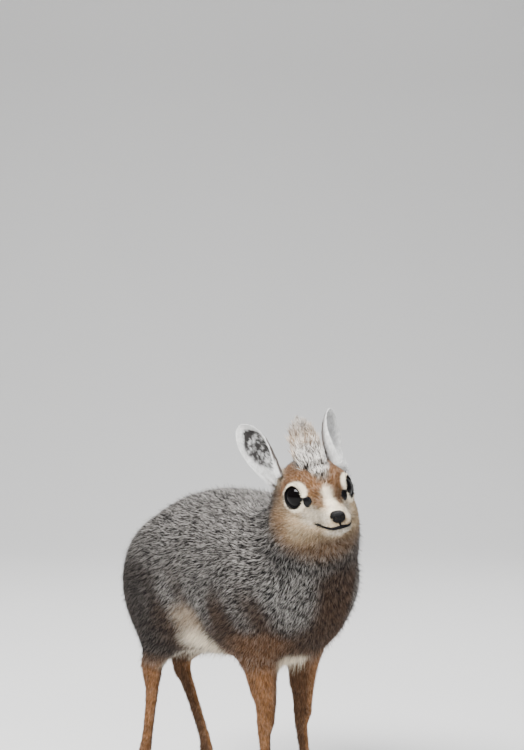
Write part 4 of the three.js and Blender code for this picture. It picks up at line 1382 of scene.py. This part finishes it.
class DIKDIK_OT_stage(bpy.types.Operator):
    """A plain pale floor that sweeps up behind, soft lights and the camera."""

    bl_idname = "dikdik.stage"
    bl_label = "Studio"

    def execute(self, context):
        self.floor()
        self.lights()
        self.camera()
        return {"FINISHED"}

    def floor(self):
        """Flat under the model, then a bend of 1.4 m radius that runs up into a wall."""
        finish = material(
            "studio_floor",
            hair("floor"),
            roughness=0.8,
            specular=0.2,
            patch=3.0,
            fleck=300.0,
            strength=0.04,
            bump=0.05,
        )
        ahead, right = camera_ways()
        bend_start, bend_radius, half_width = 1.6, 1.4, 7.0
        profile = [(-6.0, 0.0), (bend_start, 0.0)]
        for a in np.linspace(0.1, math.pi / 2, 16):
            profile.append((bend_start + bend_radius * math.sin(a), bend_radius * (1 - math.cos(a))))
        profile.append((bend_start + bend_radius, 6.0))
        points, faces = [], []
        for run, rise in profile:
            for across in (-half_width, half_width):
                points.append(ahead * run + right * across + np.array([0, 0, rise]))
        for a in range(0, 2 * len(profile) - 2, 2):
            faces += [(a + 3, a + 2, a), (a + 1, a + 3, a)]
        points, faces = np.array(points), np.array(faces)
        mesh_object("studio_floor", points, faces, finish)

    def light(self, name, place, size, power, colour=(1, 1, 1), target=(0.02, 0, 0.2)):
        data = bpy.data.lights.new(name, "AREA")
        data.shape = "RECTANGLE"
        data.size, data.size_y = size
        data.energy = power
        data.color = colour
        made = bpy.data.objects.new(name, data)
        made.location = place
        made.rotation_euler = (Vector(target) - Vector(place)).to_track_quat("-Z", "Y").to_euler()
        bpy.context.collection.objects.link(made)

    def lights(self):
        self.light("key", (0.15, -1.45, 1.75), (1.1, 0.6), 104)
        self.light("fill", (1.8, -0.7, 0.7), (1.3, 1.2), 24, (0.96, 0.98, 1))
        self.light("top", (-0.4, 0.5, 1.9), (1.6, 1.6), 56, (0.97, 0.98, 1))
        world = bpy.data.worlds.new("studio")
        world.use_nodes = True
        world.node_tree.nodes["Background"].inputs["Color"].default_value = (0.93, 0.95, 1, 1)
        world.node_tree.nodes["Background"].inputs["Strength"].default_value = 0.34
        bpy.context.scene.world = world

    def camera(self):
        ahead, right = camera_ways()
        data = bpy.data.cameras.new("camera")
        data.sensor_width = 36
        data.lens = CAMERA_LENS
        data.clip_end = 30
        made = bpy.data.objects.new("camera", data)
        made.location = DRAWN_AT - ahead * CAMERA_BACK + right * CAMERA_ASIDE + np.array([0, 0, CAMERA_UP])
        made.rotation_euler = (math.pi / 2 - CAMERA_TIP, 0, CAMERA_TURN)
        bpy.context.collection.objects.link(made)
        bpy.context.scene.camera = made


class DIKDIK_PT_panel(bpy.types.Panel):
    """Lists the pieces of the dik-dik and its sizes and colours."""

    bl_idname = "DIKDIK_PT_panel"
    bl_label = "Dik-dik"
    bl_space_type = "VIEW_3D"
    bl_region_type = "UI"
    bl_category = "Dik-dik"

    def draw(self, context):
        for operator in OPERATORS:
            self.layout.operator(operator.bl_idname)
        for group in (context.scene.dikdik_sizes, context.scene.dikdik_tints):
            for name in type(group).__annotations__:
                self.layout.prop(group, name)


OPERATORS = [
    DIKDIK_OT_skin,
    DIKDIK_OT_coat,
    DIKDIK_OT_crest,
    DIKDIK_OT_ears,
    DIKDIK_OT_eyes,
    DIKDIK_OT_muzzle,
    DIKDIK_OT_hooves,
    DIKDIK_OT_stage,
]
CLASSES = [DikDikSizes, DikDikTints, *OPERATORS, DIKDIK_PT_panel]


def register():
    for one in CLASSES:
        bpy.utils.register_class(one)
    bpy.types.Scene.dikdik_sizes = bpy.props.PointerProperty(type=DikDikSizes)
    bpy.types.Scene.dikdik_tints = bpy.props.PointerProperty(type=DikDikTints)


def unregister():
    del bpy.types.Scene.dikdik_tints
    del bpy.types.Scene.dikdik_sizes
    for one in reversed(CLASSES):
        bpy.utils.unregister_class(one)


def main():
    register()
    bpy.ops.dikdik.skin()
    bpy.ops.dikdik.coat()
    bpy.ops.dikdik.crest()
    bpy.ops.dikdik.ears()
    bpy.ops.dikdik.eyes()
    bpy.ops.dikdik.muzzle()
    bpy.ops.dikdik.hooves()
    bpy.ops.dikdik.stage()


if __name__ == "__main__":
    main()
